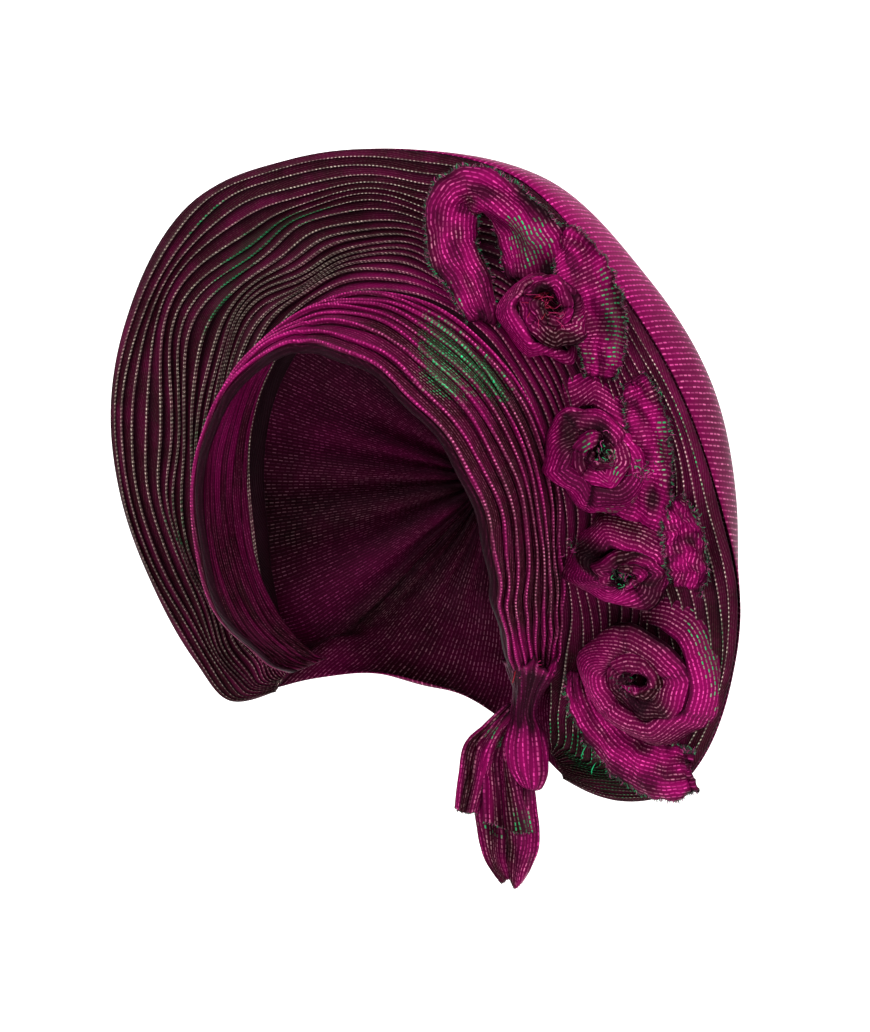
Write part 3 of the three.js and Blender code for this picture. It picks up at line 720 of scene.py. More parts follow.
class GELE_OT_fan(Operator):
    """Raise the pleated fan round the band"""

    bl_idname = "gele.fan"
    bl_label = "Pleated fan"

    def execute(self, context):
        form = Form(context.scene.gele_sizes)
        pleats = context.scene.gele_pleats
        count, depth = pleats.fan_count, pleats.fan_depth / MM
        phases = np.array([0, 0.06, 0.11, 0.16, 0.21, 0.27, 0.35, 0.52, 0.72, 0.9])
        u, v, phase, index = pleated_grid(count, 231, phases, 5, pleats.fan_stray, 7.0, 0.55)
        v = v + 0.03 * ripple(13, u * 13, v * 1.5) * np.sin(np.pi * v) ** 0.7
        v = 1.06 * v - 0.06
        tuck = np.array([1.0, 0.66, 0.33])
        u, v, phase, index = add_rows(len(tuck), u, v, phase, index)
        v[:, :len(tuck)] -= 0.05 * tuck
        inside = np.zeros_like(v)
        inside[:, :len(tuck)] = tuck
        ridge, slope = knife_ridge(phase, 0.19, 0.085)
        tall = np.clip(0.9 + 0.3 * ripple(11, u * 9, index / count * 6), 0.3, 1.3)
        gather = np.clip(np.minimum(u, 1 - u) * 8 + 0.15, 0.45, 1)
        rise = depth * gather * tall * (0.5 * ridge + 0.5 * slope) * (inside == 0)
        slack = ripple(17, u * 12, v * 2.2) * np.sin(np.pi * np.clip(v, 0, 1))
        out = form.normal(form.fan, u, np.maximum(v, 0))
        lift = rise + slack * gather - 4.0 * inside**2
        middle = form.fan(u, v - 0.012 * ridge * gather) + out * lift[..., None]
        tone = 0.04 + 0.07 * ripple(19, u * 10, index / count * 7) + blobs(u, v, [
            (0.56, 0.0, 0.09, 0.4, 0.45), (0.47, 0.0, 0.07, 0.12, 0.4), (0.66, 0.8, 0.07, 0.4, 0.15),
            (0.06, 0.0, 0.08, 0.4, 0.35), (0.7, 0.1, 0.06, 0.3, 0.3), (0.6, 0.6, 0.06, 0.5, 0.12),
        ])
        green = blobs(u, v, [
            (0.408, 0.6, 0.03, 0.05, 0.9), (0.37, 0.58, 0.02, 0.07, 1.0), (0.342, 0.51, 0.02, 0.06, 0.8),
            (0.372, 0.88, 0.018, 0.04, 0.7), (0.9, 0.5, 0.07, 0.7, 0.9), (0.25, 0.3, 0.05, 0.2, 0.3),
            (0.65, 0.97, 0.04, 0.06, 0.4), (0.2, 0.55, 0.03, 0.3, 0.3), (0.76, 0.9, 0.03, 0.08, 0.5),
        ])
        # Painted shade: dark in the groove just under each crest and on the slope that falls away behind it,
        # half as much on the last pleat.
        shade = np.maximum(smooth(0.14, 0.06, phase), 0.88 * smooth(0.5, 0.95, phase))
        shade = np.where(index == count - 1, 0.5 * shade, shade)
        # Painted shadows on the fan under the loop and the roses.
        shade = shade + blobs(u, v, [(0.522, 0.45, 0.012, 0.35, 0.8), (0.545, 0.4, 0.012, 0.3, 0.5),
                                     (0.604, 0.35, 0.012, 0.3, 0.8), (0.672, 0.35, 0.012, 0.3, 0.8),
                                     (0.74, 0.45, 0.012, 0.4, 0.8)])
        # The tucked rows get more painted shade; the crest mark carries the painted highlight of beads along
        # each ridge.
        marks = cloth_marks(tone, green * (inside == 0), shade + 0.4 * inside, ridge * (inside == 0))
        piece, flat = cloth_piece("fan", middle, form.wall, marks, cloths()["fan_cloth"], normals=out,
                                  guide=crest_lines(ridge, index))
        return {"FINISHED"}


class GELE_OT_band(Operator):
    """Wrap the pleated band round the brow"""

    bl_idname = "gele.band"
    bl_label = "Pleated band"

    def execute(self, context):
        form = Form(context.scene.gele_sizes)
        pleats = context.scene.gele_pleats
        count, depth = pleats.band_count, pleats.band_depth / MM
        phases = np.array([0, 0.05, 0.09, 0.13, 0.17, 0.21, 0.26, 0.33, 0.45, 0.6, 0.76, 0.92])
        u, v, phase, index = pleated_grid(count, 261, phases, 29, pleats.band_stray, 4.0)
        hem = np.linspace(1, 0, 7)[:-1]
        u, v, phase, index = add_rows(len(hem), u, v, phase, index)
        curl = np.zeros_like(v)
        curl[:, :len(hem)] = hem
        ridge, slope = knife_ridge(phase, 0.17, 0.08)
        even = 0.9 + 0.25 * ripple(31, u * 7, index / count * 5)
        lap = smooth(0.425, 0.415, u) * smooth(0.32, 0.2, v) * smooth(0.2, 0.34, u)
        rise = depth * (0.55 * ridge + 0.45 * slope) * even * (curl == 0) * smooth(1.0, 0.95, u) + 2.2 * lap
        slack = 0.6 * ripple(37, u * 9, v * 2)
        out = form.normal(form.band, u, v)
        forward = unit(form.band(u, v) - form.band(u, v + 0.03))
        turn = np.radians(150) * curl
        middle = form.band(u, v - 0.016 * ridge) + out * (rise + slack)[..., None]
        wander = 0.8 * ripple(41, u * 8) * smooth(0.35, 0.0, v) * np.sin(np.pi * u) ** 0.3
        middle = middle + forward * (2.0 * np.sin(turn) + 1.6 * lap + wander)[..., None]
        middle = middle + out * (2.0 * (np.cos(turn) - 1))[..., None]
        # Tone rises on the crests as part of their painted highlight.
        tone = 0.1 + 0.3 * smooth(0.4, 0.9, ridge) + 0.14 * ripple(39, u * 9, index / count * 6)
        tone = tone + blobs(u, v, [
            (0.33, 0.5, 0.1, 0.7, 0.4), (0.75, 0.6, 0.16, 0.8, -0.25), (0.5, 0.5, 0.1, 0.8, 0.1),
            (0.4, 0.1, 0.03, 0.2, 0.4), (0.5, 1.0, 0.2, 0.15, 0.3), (0.9, 0.3, 0.06, 0.4, 0.25),
        ])
        green = blobs(u, v, [(0.552, 0.5, 0.022, 0.2, 1.0), (0.575, 0.25, 0.018, 0.12, 0.9),
                             (0.585, 0.62, 0.022, 0.2, 0.9), (0.53, 0.72, 0.015, 0.12, 0.7)])
        # Painted shade: dark in the groove just under each crest and at the back of each pleat; the hem that
        # curls under the brow edge is painted in shade, with a low tone.
        shade = np.maximum(smooth(0.12, 0.04, phase), 0.5 * smooth(0.85, 1.0, phase))
        shade = np.where(curl > 0, smooth(0, 0.3, curl) * 0.5 + 0.5, shade)
        marks = cloth_marks(np.where(curl > 0, 0.2, tone), green, shade, ridge * (curl == 0))
        piece, flat = cloth_piece("brow_band", middle, form.wall, marks, cloths()["band_cloth"],
                                  guide=crest_lines(ridge, index))
        return {"FINISHED"}


class GELE_OT_crown(Operator):
    """Fit the smooth bag behind the fan"""

    bl_idname = "gele.crown"
    bl_label = "Crown bag"

    def execute(self, context):
        form = Form(context.scene.gele_sizes)
        u = np.linspace(0, 1, 341)[:-1][:, None]
        v = (np.linspace(0, 1, 100)[:-1] ** 0.9)[None, :]
        u, v = np.broadcast_arrays(u, v)
        base = form.crown(u, v)
        out = grid_normals(base, ring=True)
        pull = smooth(0.45, 1.0, v)
        folds = np.cos(2 * np.pi * 23 * u + 2.5 * ripple(61, u * 3, v * 0.5))
        east, north = np.sin(2 * np.pi * u), np.cos(2 * np.pi * u)
        slack = 0.9 * ripple(63, east * 2, north * 2, v * 3) * smooth(0, 0.15, v)
        middle = base + out * (slack + pull * 2.2 * folds)[..., None]
        tone = 0.66 + 0.2 * ripple(67, east * 1.5, north * 1.5, v)
        # Painted shade: darker in the valleys of the folds and at the pinched end.
        deep = 0.5 * pull * (0.5 - 0.5 * folds) + smooth(0.93, 1.0, v)
        # The back layer, inside the bag, is painted in shade: a lower tone and more deep.
        marks = cloth_marks((tone, tone - 0.35), 0.0, (deep, 0.45 + deep))
        eye = form.crown(0.0, 1.0) + np.array([0.0, -3.0, 0.0])
        piece, flat = cloth_piece("crown", middle, form.wall, marks, cloths()["bag_cloth"], ribs_along=False,
                                  ring=True, eye=eye)
        return {"FINISHED"}


def before_rim(form, points, clear=2.5):
    """The points, with those near the fan's rim or past it moved along its normal to lie in front of it.

    Each takes the nearest of a row of rim points, and is raised by what it lacks of the clear height there,
    all in millimetres; farther in from the rim a point may lie a little under the fan's face.
    """
    along = np.linspace(0, 1, 301)
    one = np.ones_like(along)
    rim = form.fan(along, one)
    front = form.normal(form.fan, along, 0.97 * one)
    outward = unit(rim - form.fan(along, 0.9 * one))
    flat = points.reshape(-1, 3)
    near = np.argmin(((flat[:, None, :] - rim[None, :, :]) ** 2).sum(axis=2), axis=1)
    gap = flat - rim[near]
    past = (gap * outward[near]).sum(axis=1)
    floor = mix(-2.0, clear, smooth(-12, -3, past))
    lack = np.maximum(floor - (gap * front[near]).sum(axis=1), 0) * smooth(-34, -22, past)
    return (flat + front[near] * lack[:, None]).reshape(points.shape)


def rose_middle(form, spec):
    """A puffed ribbon wound in a spiral, v from each turn's inner foot over its top to its outer foot.

    Polar about the rose: after t turns the seam lies at core + (1 - core) (t / turns)^1.35, and the ribbon
    arches from the seam one turn before to this one, its top moved in or out by soft noise, each turn a
    few millimetres lower than the one inside it. The outline is a rounded polygon whose corners drift from
    turn to turn, each with a crease, drawn out to one corner. Near the fan's rim it is held in and off it.
    """
    turns, core, seed = spec["turns"], spec["core"], spec["seed"]
    u = np.linspace(0, 1, int(110 * turns))[:, None]
    v = np.linspace(0, 1, 31)[None, :]
    u, v = np.broadcast_arrays(u, v)
    t = turns * u

    def seam(x):
        return core * (1 + 0.75 * np.minimum(x, 0)) + (1 - core) * (np.maximum(x, 0) / turns) ** 1.35

    def top(x):
        height = spec["depth"] * form.rose * (1 - 0.32 * np.maximum(x, 0) / turns)
        return height + 1.6 * ripple(seed + 1, x * 1.3)

    angle = spec["wind"] * 2 * np.pi * t + 2.2
    last = smooth(turns - 1.1, turns - 0.85, t)
    tilt = v ** (0.95 + 0.5 * ripple(seed + 4, t * 1.2))
    reach = mix(seam(t - 1) - 0.07 * smooth(0.8, 1.3, t), seam(t), (1 - np.cos(np.pi * tilt)) / 2)
    reach = reach - 0.14 * last * smooth(0.7, 1.0, v)
    low = top(t - 1) - spec["step"] - 2.5
    foot = mix(top(t) - 6.5, -5.0, last)
    arch = top(t) - (low + foot) / 2
    z = mix(low, foot, smooth(0, 1, tilt)) + arch * np.sin(np.pi * tilt) ** 0.75

    sector = 2 * np.pi / spec["corners"]
    turned = angle + 0.35 * np.sin(angle + seed) + 0.8 * spec["wind"] * t
    off = np.mod(turned, sector) - sector / 2
    polygon = np.cos(sector / 2) / np.cos(off)
    crease = np.exp(-(((sector / 2 - np.abs(off)) / 0.09) ** 2)) * (0.5 + 0.5 * ripple(seed + 7, t * 2))
    apart = np.abs(np.angle(np.exp(1j * (angle - np.radians(spec["corner"])))))
    drawn = spec["point"] * np.exp(-((apart / 0.5) ** 2)) * smooth(0.8, turns, t)
    crumple = 0.08 * ripple(seed, t * 1.5, v * 0.6) + 0.03 * ripple(seed + 3, t * 6, v * 1.4)
    reach = reach * (mix(1.06, polygon * 1.06, spec["sharp"]) + drawn + crumple - 0.05 * crease)
    hump = np.sin(np.pi * v)
    z = z - 2.0 * crease * hump + 0.8 * ripple(seed + 8, t * 7, v * 1.2) * hump
    tucked = smooth(turns - 0.4, turns, t)
    z = mix(z, -6.0, 0.9 * tucked)
    reach = reach * (1 - 0.08 * tucked)
    half = form.rose / 2
    origin, basis = form.seat(spec["along"], spec["across"], spec["lean"], spec["roll"])
    rim = np.linalg.norm(form.fan(spec["along"], 1.0) - origin)
    out = reach * np.cos(angle) * spec["width"] * half
    z = mix(z, np.maximum(z, 2.0), smooth(rim - 16, rim - 6, out))
    out = np.where(out > rim - 4, rim - 4 + 0.5 * (out - rim + 4), out)
    local = stack(out, reach * np.sin(angle) * spec["height"] * half, z)
    return u, v, before_rim(form, origin + local @ basis.T), np.clip(crease, 0, 1)


class GELE_OT_roses(Operator):
    """Roll the four cloth roses"""

    bl_idname = "gele.roses"
    bl_label = "Cloth roses"

    def execute(self, context):
        form = Form(context.scene.gele_sizes)
        for name, spec in ROSES.items():
            u, v, middle, crease = rose_middle(form, spec)
            seed = spec["seed"]
            # Painted shade: dark at each turn's feet where it meets the turns beside it, towards the core,
            # along the creases and in soft patches.
            deep = smooth(0.24, 0.0, v) + 0.9 * smooth(0.82, 1.0, v) + 0.35 * smooth(0.3, 0.0, u)
            deep = deep + 0.5 * crease + 0.7 * np.clip(ripple(seed + 12, u * spec["turns"] * 1.5, v), 0, 1)
            # Random tone, falling towards the core as painted shade and rising on the last turns.
            tone = 0.5 + 0.4 * ripple(seed + 5, u * 6, v)
            tone = tone + 0.2 * smooth(0.6, 1.0, u) - 0.3 * smooth(0.35, 0.0, u)
            green = np.clip(ripple(seed + 6, u * 5, v * 0.7) - 1.1, 0, 1)
            if name == "end_rose":
                green = green + blobs(u, v, [(0.9, 0.6, 0.03, 0.25, 0.9)])
                tone = tone - 0.15
            marks = cloth_marks(tone, green, deep)
            piece, flat = cloth_piece(name, middle, form.wall, marks, cloths()["rose_cloth"], from_end=True)
        return {"FINISHED"}


def strip_middle(form, spec, columns=150, rows=27):
    """A ribbon carried along a line on the fan, u along it and v across it.

    At each place the line, the fan's normal there and their cross product make a frame; the ribbon's
    width lies across the line, turned by the twist, and bends with the square of the distance from it.
    Soft noise crumples it, more sharply towards its ends where it is gathered.
    """
    u = np.linspace(0, 1, columns)
    place = rows_at(np.array(spec["sections"], float), u)
    off = form.normal(form.fan, place[:, 0], place[:, 1])
    line = form.fan(place[:, 0], place[:, 1]) + off * place[:, 2:3]
    forward = unit(np.gradient(line, axis=0))
    side = unit(np.cross(off, forward))
    up = np.cross(forward, side)
    twist = np.radians(place[:, 4:5])
    across = side * np.cos(twist) + up * np.sin(twist)
    face = np.cross(forward, across)
    v = np.linspace(-1, 1, rows)
    wide = place[:, 3:4] * v
    u, v = np.broadcast_arrays(u[:, None], v[None, :])
    bend = spec["cup"] * place[:, 3:4] * v**2
    gathered = np.exp(-u / 0.12) + np.exp(-(1 - u) / 0.12)
    seed = spec["seed"]
    crumple = 1.1 * ripple(seed, u * 4, v * 0.9) + 0.3 * ripple(seed + 1, u * 11, v * 2.5)
    crumple = crumple + gathered * 1.1 * np.cos(np.pi * (v * 3.5 + ripple(seed + 7, u * 2, v)))
    middle = line[:, None] + across[:, None] * wide[..., None] + face[:, None] * (bend + crumple)[..., None]
    edge = 0.7 * ripple(seed + 2, u * 9) * v**4
    return u, v, middle + across[:, None] * edge[..., None]


def loose_threads(name, roots, reaches, bends, radius, tone, green, finish=None):
    """Threads: bent three-sided tubes that thin out, each along root + s reach + 4 s (1 - s) bend."""
    count, stations, corners = len(roots), 5, 3
    s = np.linspace(0, 1, stations)[None, :, None]
    line = roots[:, None] + reaches[:, None] * s + bends[:, None] * (4 * s * (1 - s))
    run = unit(np.gradient(line, axis=1))
    side = unit(np.cross(run, unit(bends + np.array([0.31, 0.17, 0.23]))[:, None]))
    up = np.cross(run, side)
    turn = np.arange(corners) * 2 * np.pi / corners
    round_it = side[:, :, None] * np.cos(turn)[:, None] + up[:, :, None] * np.sin(turn)[:, None]
    points = line[:, :, None] + round_it * (radius * (1 - 0.5 * s))[..., None]
    n, i, k = (a.ravel() for a in np.indices((count, stations - 1, corners)))

    def ids(n, i, k):
        return (n * stations + i) * corners + k % corners

    quads = np.stack([ids(n, i, k), ids(n, i, k + 1), ids(n, i + 1, k + 1), ids(n, i + 1, k)], axis=1)
    n = np.arange(count)
    caps = np.vstack([np.stack([ids(n, 0, k) for k in (0, 2, 1)], axis=1),
                      np.stack([ids(n, stations - 1, k) for k in (0, 1, 2)], axis=1)])
    starts = np.concatenate([np.arange(len(quads)) * 4, len(quads) * 4 + np.arange(len(caps)) * 3])
    marks = {"tone": np.repeat(tone, stations * corners), "green": np.repeat(green, stations * corners)}
    faces = np.concatenate([quads.ravel(), caps.ravel()])
    piece = mesh_object(name, points.reshape(-1, 3), faces, starts, None, marks)
    piece.data.materials.append(finish or thread_finish())
    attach(piece, "root")


def fray(name, edges, per_mm, length, seed, radius=0.17):
    """A fringe along edges, each a run of points with the directions out of it and off its face."""
    random = np.random.default_rng(seed)
    roots, reaches, bends = [], [], []
    for points, outward, off in edges:
        steps = np.linalg.norm(np.diff(points, axis=0), axis=1)
        count = max(int(steps.sum() * per_mm), 1)
        i = random.choice(len(steps), count, p=steps / steps.sum())
        share = random.uniform(0, 1, (count, 1))
        tangent = unit(points[i + 1] - points[i])
        lean = random.uniform(-0.9, 0.9, (count, 1))
        lift = random.uniform(-0.5, 0.6, (count, 1))
        size = length * random.uniform(0.35, 1.25, (count, 1))
        roots.append(mix(points[i], points[i + 1], share) - outward[i] * 0.5)
        reaches.append(unit(outward[i] + tangent * lean + off[i] * lift) * size)
        bends.append(random.normal(size=(count, 3)) * size * 0.16)
    count = sum(len(r) for r in roots)
    pick = random.uniform(0, 1, count)
    tone = np.where(pick > 0.8, 0.55, 0.0) * random.uniform(0.3, 1.0, count)
    green = np.where(pick < 0.08, 0.7, 0.0)
    loose_threads(name, np.vstack(roots), np.vstack(reaches), np.vstack(bends), radius, tone, green)


def lay_strip(context, name, green, fringe=(4.6, 2.1)):
    """Makes one strip piece from its sections, with both long edges frayed.

    green are spots along and across it, fringe the threads to a millimetre and their length.
    """
    form = Form(context.scene.gele_sizes)
    spec = STRIPS[name]
    u, v, middle = strip_middle(form, spec)
    tone = 0.68 + 0.35 * ripple(spec["seed"] + 4, u * 3, v) - 0.35 * smooth(0.75, 1.0, np.abs(v))
    # Painted shade: dark along both edges, at the gathered ends and in soft patches.
    deep = 0.5 * smooth(0.75, 1.0, np.abs(v)) + 0.8 * smooth(0.1, 0.0, u) + 0.8 * smooth(0.9, 1.0, u)
    deep = deep + 0.7 * np.clip(ripple(spec["seed"] + 8, u * 3.5, v * 0.8) - 0.1, 0, 1)
    marks = cloth_marks(tone, blobs(u, v, green), deep)
    piece, flat = cloth_piece(name, middle, form.wall, marks, cloths()["rose_cloth"],
                              ribs_along=spec["ribs_along"])
    off = grid_normals(middle)
    edges = [(middle[:, 0], unit(middle[:, 0] - middle[:, 1]), off[:, 0]),
             (middle[:, -1], unit(middle[:, -1] - middle[:, -2]), off[:, -1])]
    fray(f"{name}_fringe", edges, *fringe, spec["seed"])


class GELE_OT_bow(Operator):
    """Fold the broad loop over the roses"""

    bl_idname = "gele.bow"
    bl_label = "Loop bow"

    def execute(self, context):
        lay_strip(context, "loop_bow", [(0.85, 0.1, 0.09, 0.6, 0.9), (0.12, 0.9, 0.06, 0.3, 0.6)])
        return {"FINISHED"}


class GELE_OT_petals(Operator):
    """Lay the loose petals and the fold at the end"""

    bl_idname = "gele.petals"
    bl_label = "Loose petals"

    def execute(self, context):
        lay_strip(context, "leaf_petal", [(0.62, 0.6, 0.26, 0.35, 1.0), (0.8, -0.7, 0.1, 0.3, 0.6)])
        lay_strip(context, "side_petal", [(0.45, 0.7, 0.2, 0.3, 0.7)])
        lay_strip(context, "small_petal", [(0.3, 0.8, 0.2, 0.3, 0.5)])
        lay_strip(context, "end_fold", [(0.5, -0.95, 0.4, 0.1, 0.6)])
        return {"FINISHED"}


def flap_middle(form, rows, seed):
    """A flap that hangs from the gather: across it two soft folds and finer gathers that fade downwards."""
    u, v = np.broadcast_arrays(np.linspace(0, 1, 75)[:, None], np.linspace(0, 1, 61)[None, :])
    out, back, drop, half, turn = np.moveaxis(rows_at(np.array(rows, float), v), -1, 0)
    side = 2 * u - 1
    fold = 0.3 * half * np.cos(2.6 * np.pi * u + 0.6 * ripple(seed, u, v))
    fine = np.cos(2 * np.pi * 5 * u + 2 * ripple(seed + 1, u, v * 1.5))
    fold = fold + 0.08 * half * fine * mix(1.4, 0.4, v)
    fold = fold + 0.05 * half * ripple(seed + 2, u * 3, v * 3)
    a = np.radians(turn)
    hem = 0.02 * ripple(seed + 3, u * 1.2) * smooth(0.6, 1.0, v)
    out = out + side * half * np.cos(a) + fold * np.sin(a)
    back = back + side * half * np.sin(a) - fold * np.cos(a)
    share = stack(out, back, -drop - hem)
    return u, v, share * form.tie + form.gather


def neck_middle(form):
    """A ring along a bent line, drawn in to a throat and swelling to a knot, with wandering ridges."""
    u, v = np.broadcast_arrays(np.linspace(0, 1, 201)[:-1][:, None], np.linspace(0, 1, 91)[None, :])
    angle = 2 * np.pi * u
    out, back, rise, half = np.moveaxis(rows_at(NECK, v), -1, 0)
    ridge = 0.1 * np.abs(np.cos(5.5 * angle + 1.6 * np.sin(angle + 5 * v))) ** 0.7
    ridge = ridge + 0.07 * ripple(97, np.cos(angle) * 1.5, np.sin(angle) * 1.5, v * 3)
    fold = 0.16 * smooth(0.45, 0.6, v) * np.exp(-(((np.cos(angle - 3.9 - 1.5 * v) - 1) / 0.12) ** 2))
    girth = half * (1 + ridge - fold)
    rise = rise + 0.03 * ripple(99, np.cos(angle) * 1.5, np.sin(angle) * 1.5) * smooth(0.12, 0.0, v)
    ring = stack(out + girth * np.cos(angle), back - 0.8 * girth * np.sin(angle), rise)
    return u, v, form.gather + ring * form.tie


class GELE_OT_tie(Operator):
    """Gather the tie at the nape and hang its flaps"""

    bl_idname = "gele.tie"
    bl_label = "Gathered tie"

    def execute(self, context):
        form = Form(context.scene.gele_sizes)
        greens = {"front_flap": [(0.6, 0.3, 0.25, 0.1, 0.9)],
                  "side_flap": [(0.25, 0.35, 0.3, 0.1, 1.0), (0.85, 0.95, 0.2, 0.12, 0.9)],
                  "lower_flap": [(0.3, 0.45, 0.3, 0.1, 0.5)]}
        u, v, middle = neck_middle(form)
        # Painted shade on the neck: darker between its ridges, a painted shadow across the throat, and dark
        # at both ends.
        shade = 0.5 + 0.5 * np.cos(2 * np.pi * 11 * u + 3.2 * np.sin(2 * np.pi * u + 5 * v))
        deep = 0.45 * (1 - shade) + 0.85 * smooth(0.02, 0.14, v) * smooth(0.62, 0.42, v)
        deep = deep + 0.5 * smooth(0.85, 1.0, v) + 0.8 * smooth(0.04, 0.0, v)
        marks = cloth_marks(0.75 + 0.3 * ripple(98, u * 5, v), 0.0, deep)
        piece, flat = cloth_piece("tie_neck", middle, form.wall, marks, cloths()["rose_cloth"],
                                  ribs_along=False, ring=True)
        hems = []
        for k, (name, rows) in enumerate(FLAPS.items()):
            u, v, middle = flap_middle(form, rows, 101 + 7 * k)
            tone = 0.55 + 0.3 * ripple(103 + k, u * 2, v * 1.5) - 0.4 * smooth(0.35, 0.15, np.abs(u - 0.4))
            # Painted shade: dark at the top of each flap near the gather, and in soft patches.
            deep = 0.9 * smooth(0.3, 0.0, v) + 0.6 * np.clip(ripple(105 + k, u * 3, v * 0.7), 0, 1)
            marks = cloth_marks(tone, blobs(u, v, greens[name]), deep)
            piece, flat = cloth_piece(name, middle, form.wall, marks, cloths()["rose_cloth"],
                                      ribs_along=False)
            outward = unit(middle[:, -1] - middle[:, -2])
            hems.append((middle[:, -1], outward, grid_normals(middle)[:, -1]))
        fray("flap_fringe", hems, 3.6, 1.3, 141)
        return {"FINISHED"}


def scatter(form, spots, count, spread, length, seed):
    """Roots, reaches and bends of threads strewn about places on the fan (along, across, lift)."""
    random = np.random.default_rng(seed)
    along, across, lift = np.array(spots, float)[random.integers(0, len(spots), count)].T
    off = form.normal(form.fan, along, across)
    roots = form.fan(along, across) + off * lift[:, None] + random.normal(size=(count, 3)) * spread
    reaches = unit(random.normal(size=(count, 3)) + off * 0.4) * length
    reaches = reaches * random.uniform(0.5, 1.2, (count, 1))
    return roots, reaches, random.normal(size=(count, 3)) * length * 0.22


class GELE_OT_threads(Operator):
    """Leave loose threads in the roses and at the gather"""

    bl_idname = "gele.threads"
    bl_label = "Loose threads"

    def execute(self, context):
        form = Form(context.scene.gele_sizes)
        red = thread_finish("red_thread", (0.3, 0.008, 0.02))
        cores = [(0.566, 0.42, 15), (0.566, 0.34, 16), (0.56, 0.5, 14)]
        parts = scatter(form, cores, 46, 2.4, 9.0, 151)
        loose_threads("core_threads", *parts, 0.16, np.linspace(0, 0.35, 46), np.zeros(46), red)
        ends = [(0.64, 0.3, 19), (0.705, 0.36, 17), (0.774, 0.47, 19), (0.69, 0.05, 7), (0.655, 0.6, 12)]
        parts = scatter(form, ends, 260, 2.6, 3.2, 157)
        pick = np.linspace(0, 1, 260)
        tone, green = np.where(pick > 0.75, 0.5, 0.0), np.where(pick < 0.2, 0.8, 0.0)
        loose_threads("tuft_threads", *parts, 0.17, tone, green)
        u = np.array([0.9, 0.93, 0.87])
        v = np.array([0.25, 0.5, 0.8])
        off = form.normal(form.fan, u, v)
        roots = form.fan(u, v) + off * 3.0
        reaches = np.array([[2.5, -3.0, 6.5], [2.0, -2.5, 6.0], [1.5, -2.5, 5.0]])
        loose_threads("green_threads", roots, reaches, off * 1.5, 0.3, np.zeros(3), np.ones(3))
        ties = np.array([[-0.1, -0.14, 0.15], [-0.03, -0.17, 0.1], [-0.08, -0.15, 0.17]])
        roots = form.gather + ties * form.tie
        reaches = np.array([[0.16, -0.03, 0.06], [0.1, 0.0, 0.09], [0.03, -0.05, -0.1]]) * form.tie
        bends = np.array([[0.5, -2.0, -2.5], [0.0, -1.5, 2.0], [1.0, -1.0, 1.5]])
        pinks = np.array([0.5, 0.3, 0.0])
        loose_threads("tie_threads", roots, reaches, bends, 0.35, pinks, np.zeros(3), red)
        return {"FINISHED"}


def camera_at(azimuth, elevation, roll, target, distance, lens):
    """A camera on a sphere about its target, turned about its own line of sight by roll."""
    a, e, r = (math.radians(x) for x in (azimuth, elevation, roll))
    back = np.array([math.sin(a) * math.cos(e), -math.cos(a) * math.cos(e), math.sin(e)])
    level = np.array([math.cos(a), math.sin(a), 0.0])
    rise = np.cross(back, level)
    right = level * math.cos(r) + rise * math.sin(r)
    up = rise * math.cos(r) - level * math.sin(r)
    data = bpy.data.cameras.new("camera")
    data.lens = lens
    data.sensor_width = 36
    data.clip_end = 50
    camera = bpy.data.objects.new("camera", data)
    place = np.eye(4)
    place[:3, 0], place[:3, 1], place[:3, 2], place[:3, 3] = right, up, back, target + back * distance
    camera.matrix_world = Matrix(place.tolist())
    bpy.context.scene.collection.objects.link(camera)
    bpy.context.scene.camera = camera
    return right, up, back


def soft_light(name, place, target, size, power, colour):
    """A square area light at place that faces target."""
    data = bpy.data.lights.new(name, "AREA")
    data.size = size
    data.energy = power
    data.color = colour
    light = bpy.data.objects.new(name, data)
    back = unit(np.asarray(place, float) - target)
    right = unit(np.cross([0, 0, 1.0], back))
    turn = np.eye(4)
    turn[:3, 0], turn[:3, 1], turn[:3, 2], turn[:3, 3] = right, np.cross(back, right), back, place
    light.matrix_world = Matrix(turn.tolist())
    bpy.context.scene.collection.objects.link(light)


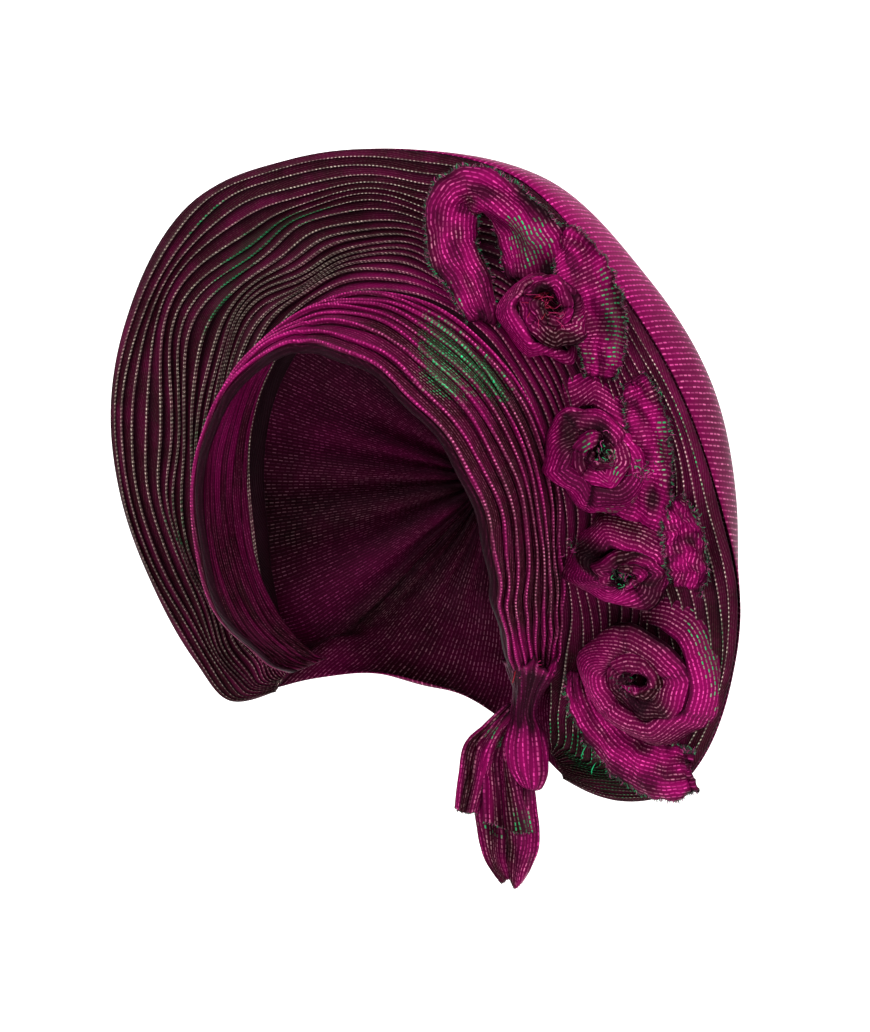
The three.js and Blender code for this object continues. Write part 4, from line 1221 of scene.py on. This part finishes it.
class GELE_OT_stage(Operator):
    """Set the pale floor, the lights and the camera"""

    bl_idname = "gele.stage"
    bl_label = "Stage"

    def execute(self, context):
        target = np.array([0.016, 0.020, -0.092])
        right, up, back = camera_at(azimuth=24, elevation=2, roll=12, target=target, distance=1.12, lens=85)
        floor = -0.30
        turn = -np.linspace(0, 2 * np.pi, 97)[:-1][:, None]
        bend = np.linspace(np.pi / 2, 0, 13)
        reach = np.concatenate([[3.4], 2.6 + 0.8 * np.sin(bend), [2.0, 1.0, 0.4, 0.1]])[None, :]
        level = np.concatenate([[2.6], 0.8 * (1 - np.cos(bend)), [0, 0, 0, 0]])[None, :] + floor
        points = stack(reach * np.cos(turn), reach * np.sin(turn), level + 0 * turn) / MM
        under = np.array([0, 0, -5.0])
        tip = np.array([0, 0, floor / MM])
        stage = sheet_object("pale_sweep", points, points + under, np.zeros((97, points.shape[1], 2)), {},
                             ring=True, eye=np.array([tip, tip + under]))
        w = Weaver("pale_paper")
        grain = w.noise(40.0, 3.0)
        w.feed(w.shader.inputs["Base Color"], w.mix(grain, (0.9, 0.9, 0.9), (0.93, 0.93, 0.93)))
        w.shader.inputs["Roughness"].default_value = 0.9
        w.shader.inputs["Emission Color"].default_value = (1.0, 1.0, 1.0, 1.0)
        w.shader.inputs["Emission Strength"].default_value = 0.5
        stage.data.materials.append(w.material)
        soft_light("key", target + back * 1.0 + right * 0.55 + up * 1.0, target, 0.5, 15, (1.0, 0.98, 0.96))
        soft_light("fill", target + back * 1.2 - right * 1.3 + up * 0.35, target, 1.0, 5, (0.97, 0.98, 1.0))
        world = bpy.data.worlds.new("pale_room")
        world.use_nodes = True
        air = world.node_tree.nodes["Background"]
        air.inputs["Color"].default_value = (1.0, 1.0, 1.0, 1.0)
        air.inputs["Strength"].default_value = 0.74
        context.scene.world = world
        context.scene.view_settings.view_transform = "Standard"
        return {"FINISHED"}


OPERATORS = (GELE_OT_stage, GELE_OT_band, GELE_OT_fan, GELE_OT_crown, GELE_OT_bow, GELE_OT_roses,
             GELE_OT_petals, GELE_OT_tie, GELE_OT_threads)


class GELE_PT_panel(Panel):
    """The steps of making the gele"""

    bl_idname = "GELE_PT_panel"
    bl_label = "Tied gele"
    bl_space_type = "VIEW_3D"
    bl_region_type = "UI"
    bl_category = "Gele"

    def draw(self, context):
        scene = context.scene
        for group in (scene.gele_sizes, scene.gele_pleats, scene.gele_colours):
            for key in group.bl_rna.properties.keys():
                if key not in ("rna_type", "name"):
                    self.layout.prop(group, key)
        for step in OPERATORS:
            self.layout.operator(step.bl_idname)


GROUPS = {"gele_sizes": GeleSizes, "gele_pleats": GelePleats, "gele_colours": GeleColours}
CLASSES = (*GROUPS.values(), *OPERATORS, GELE_PT_panel)


def register():
    for item in CLASSES:
        bpy.utils.register_class(item)
    for key, group in GROUPS.items():
        setattr(bpy.types.Scene, key, PointerProperty(type=group))


def unregister():
    for key in GROUPS:
        delattr(bpy.types.Scene, key)
    for item in reversed(CLASSES):
        bpy.utils.unregister_class(item)


def main():
    register()
    for step in OPERATORS:
        group, name = step.bl_idname.split(".")
        getattr(getattr(bpy.ops, group), name)()


if __name__ == "__main__":
    main()
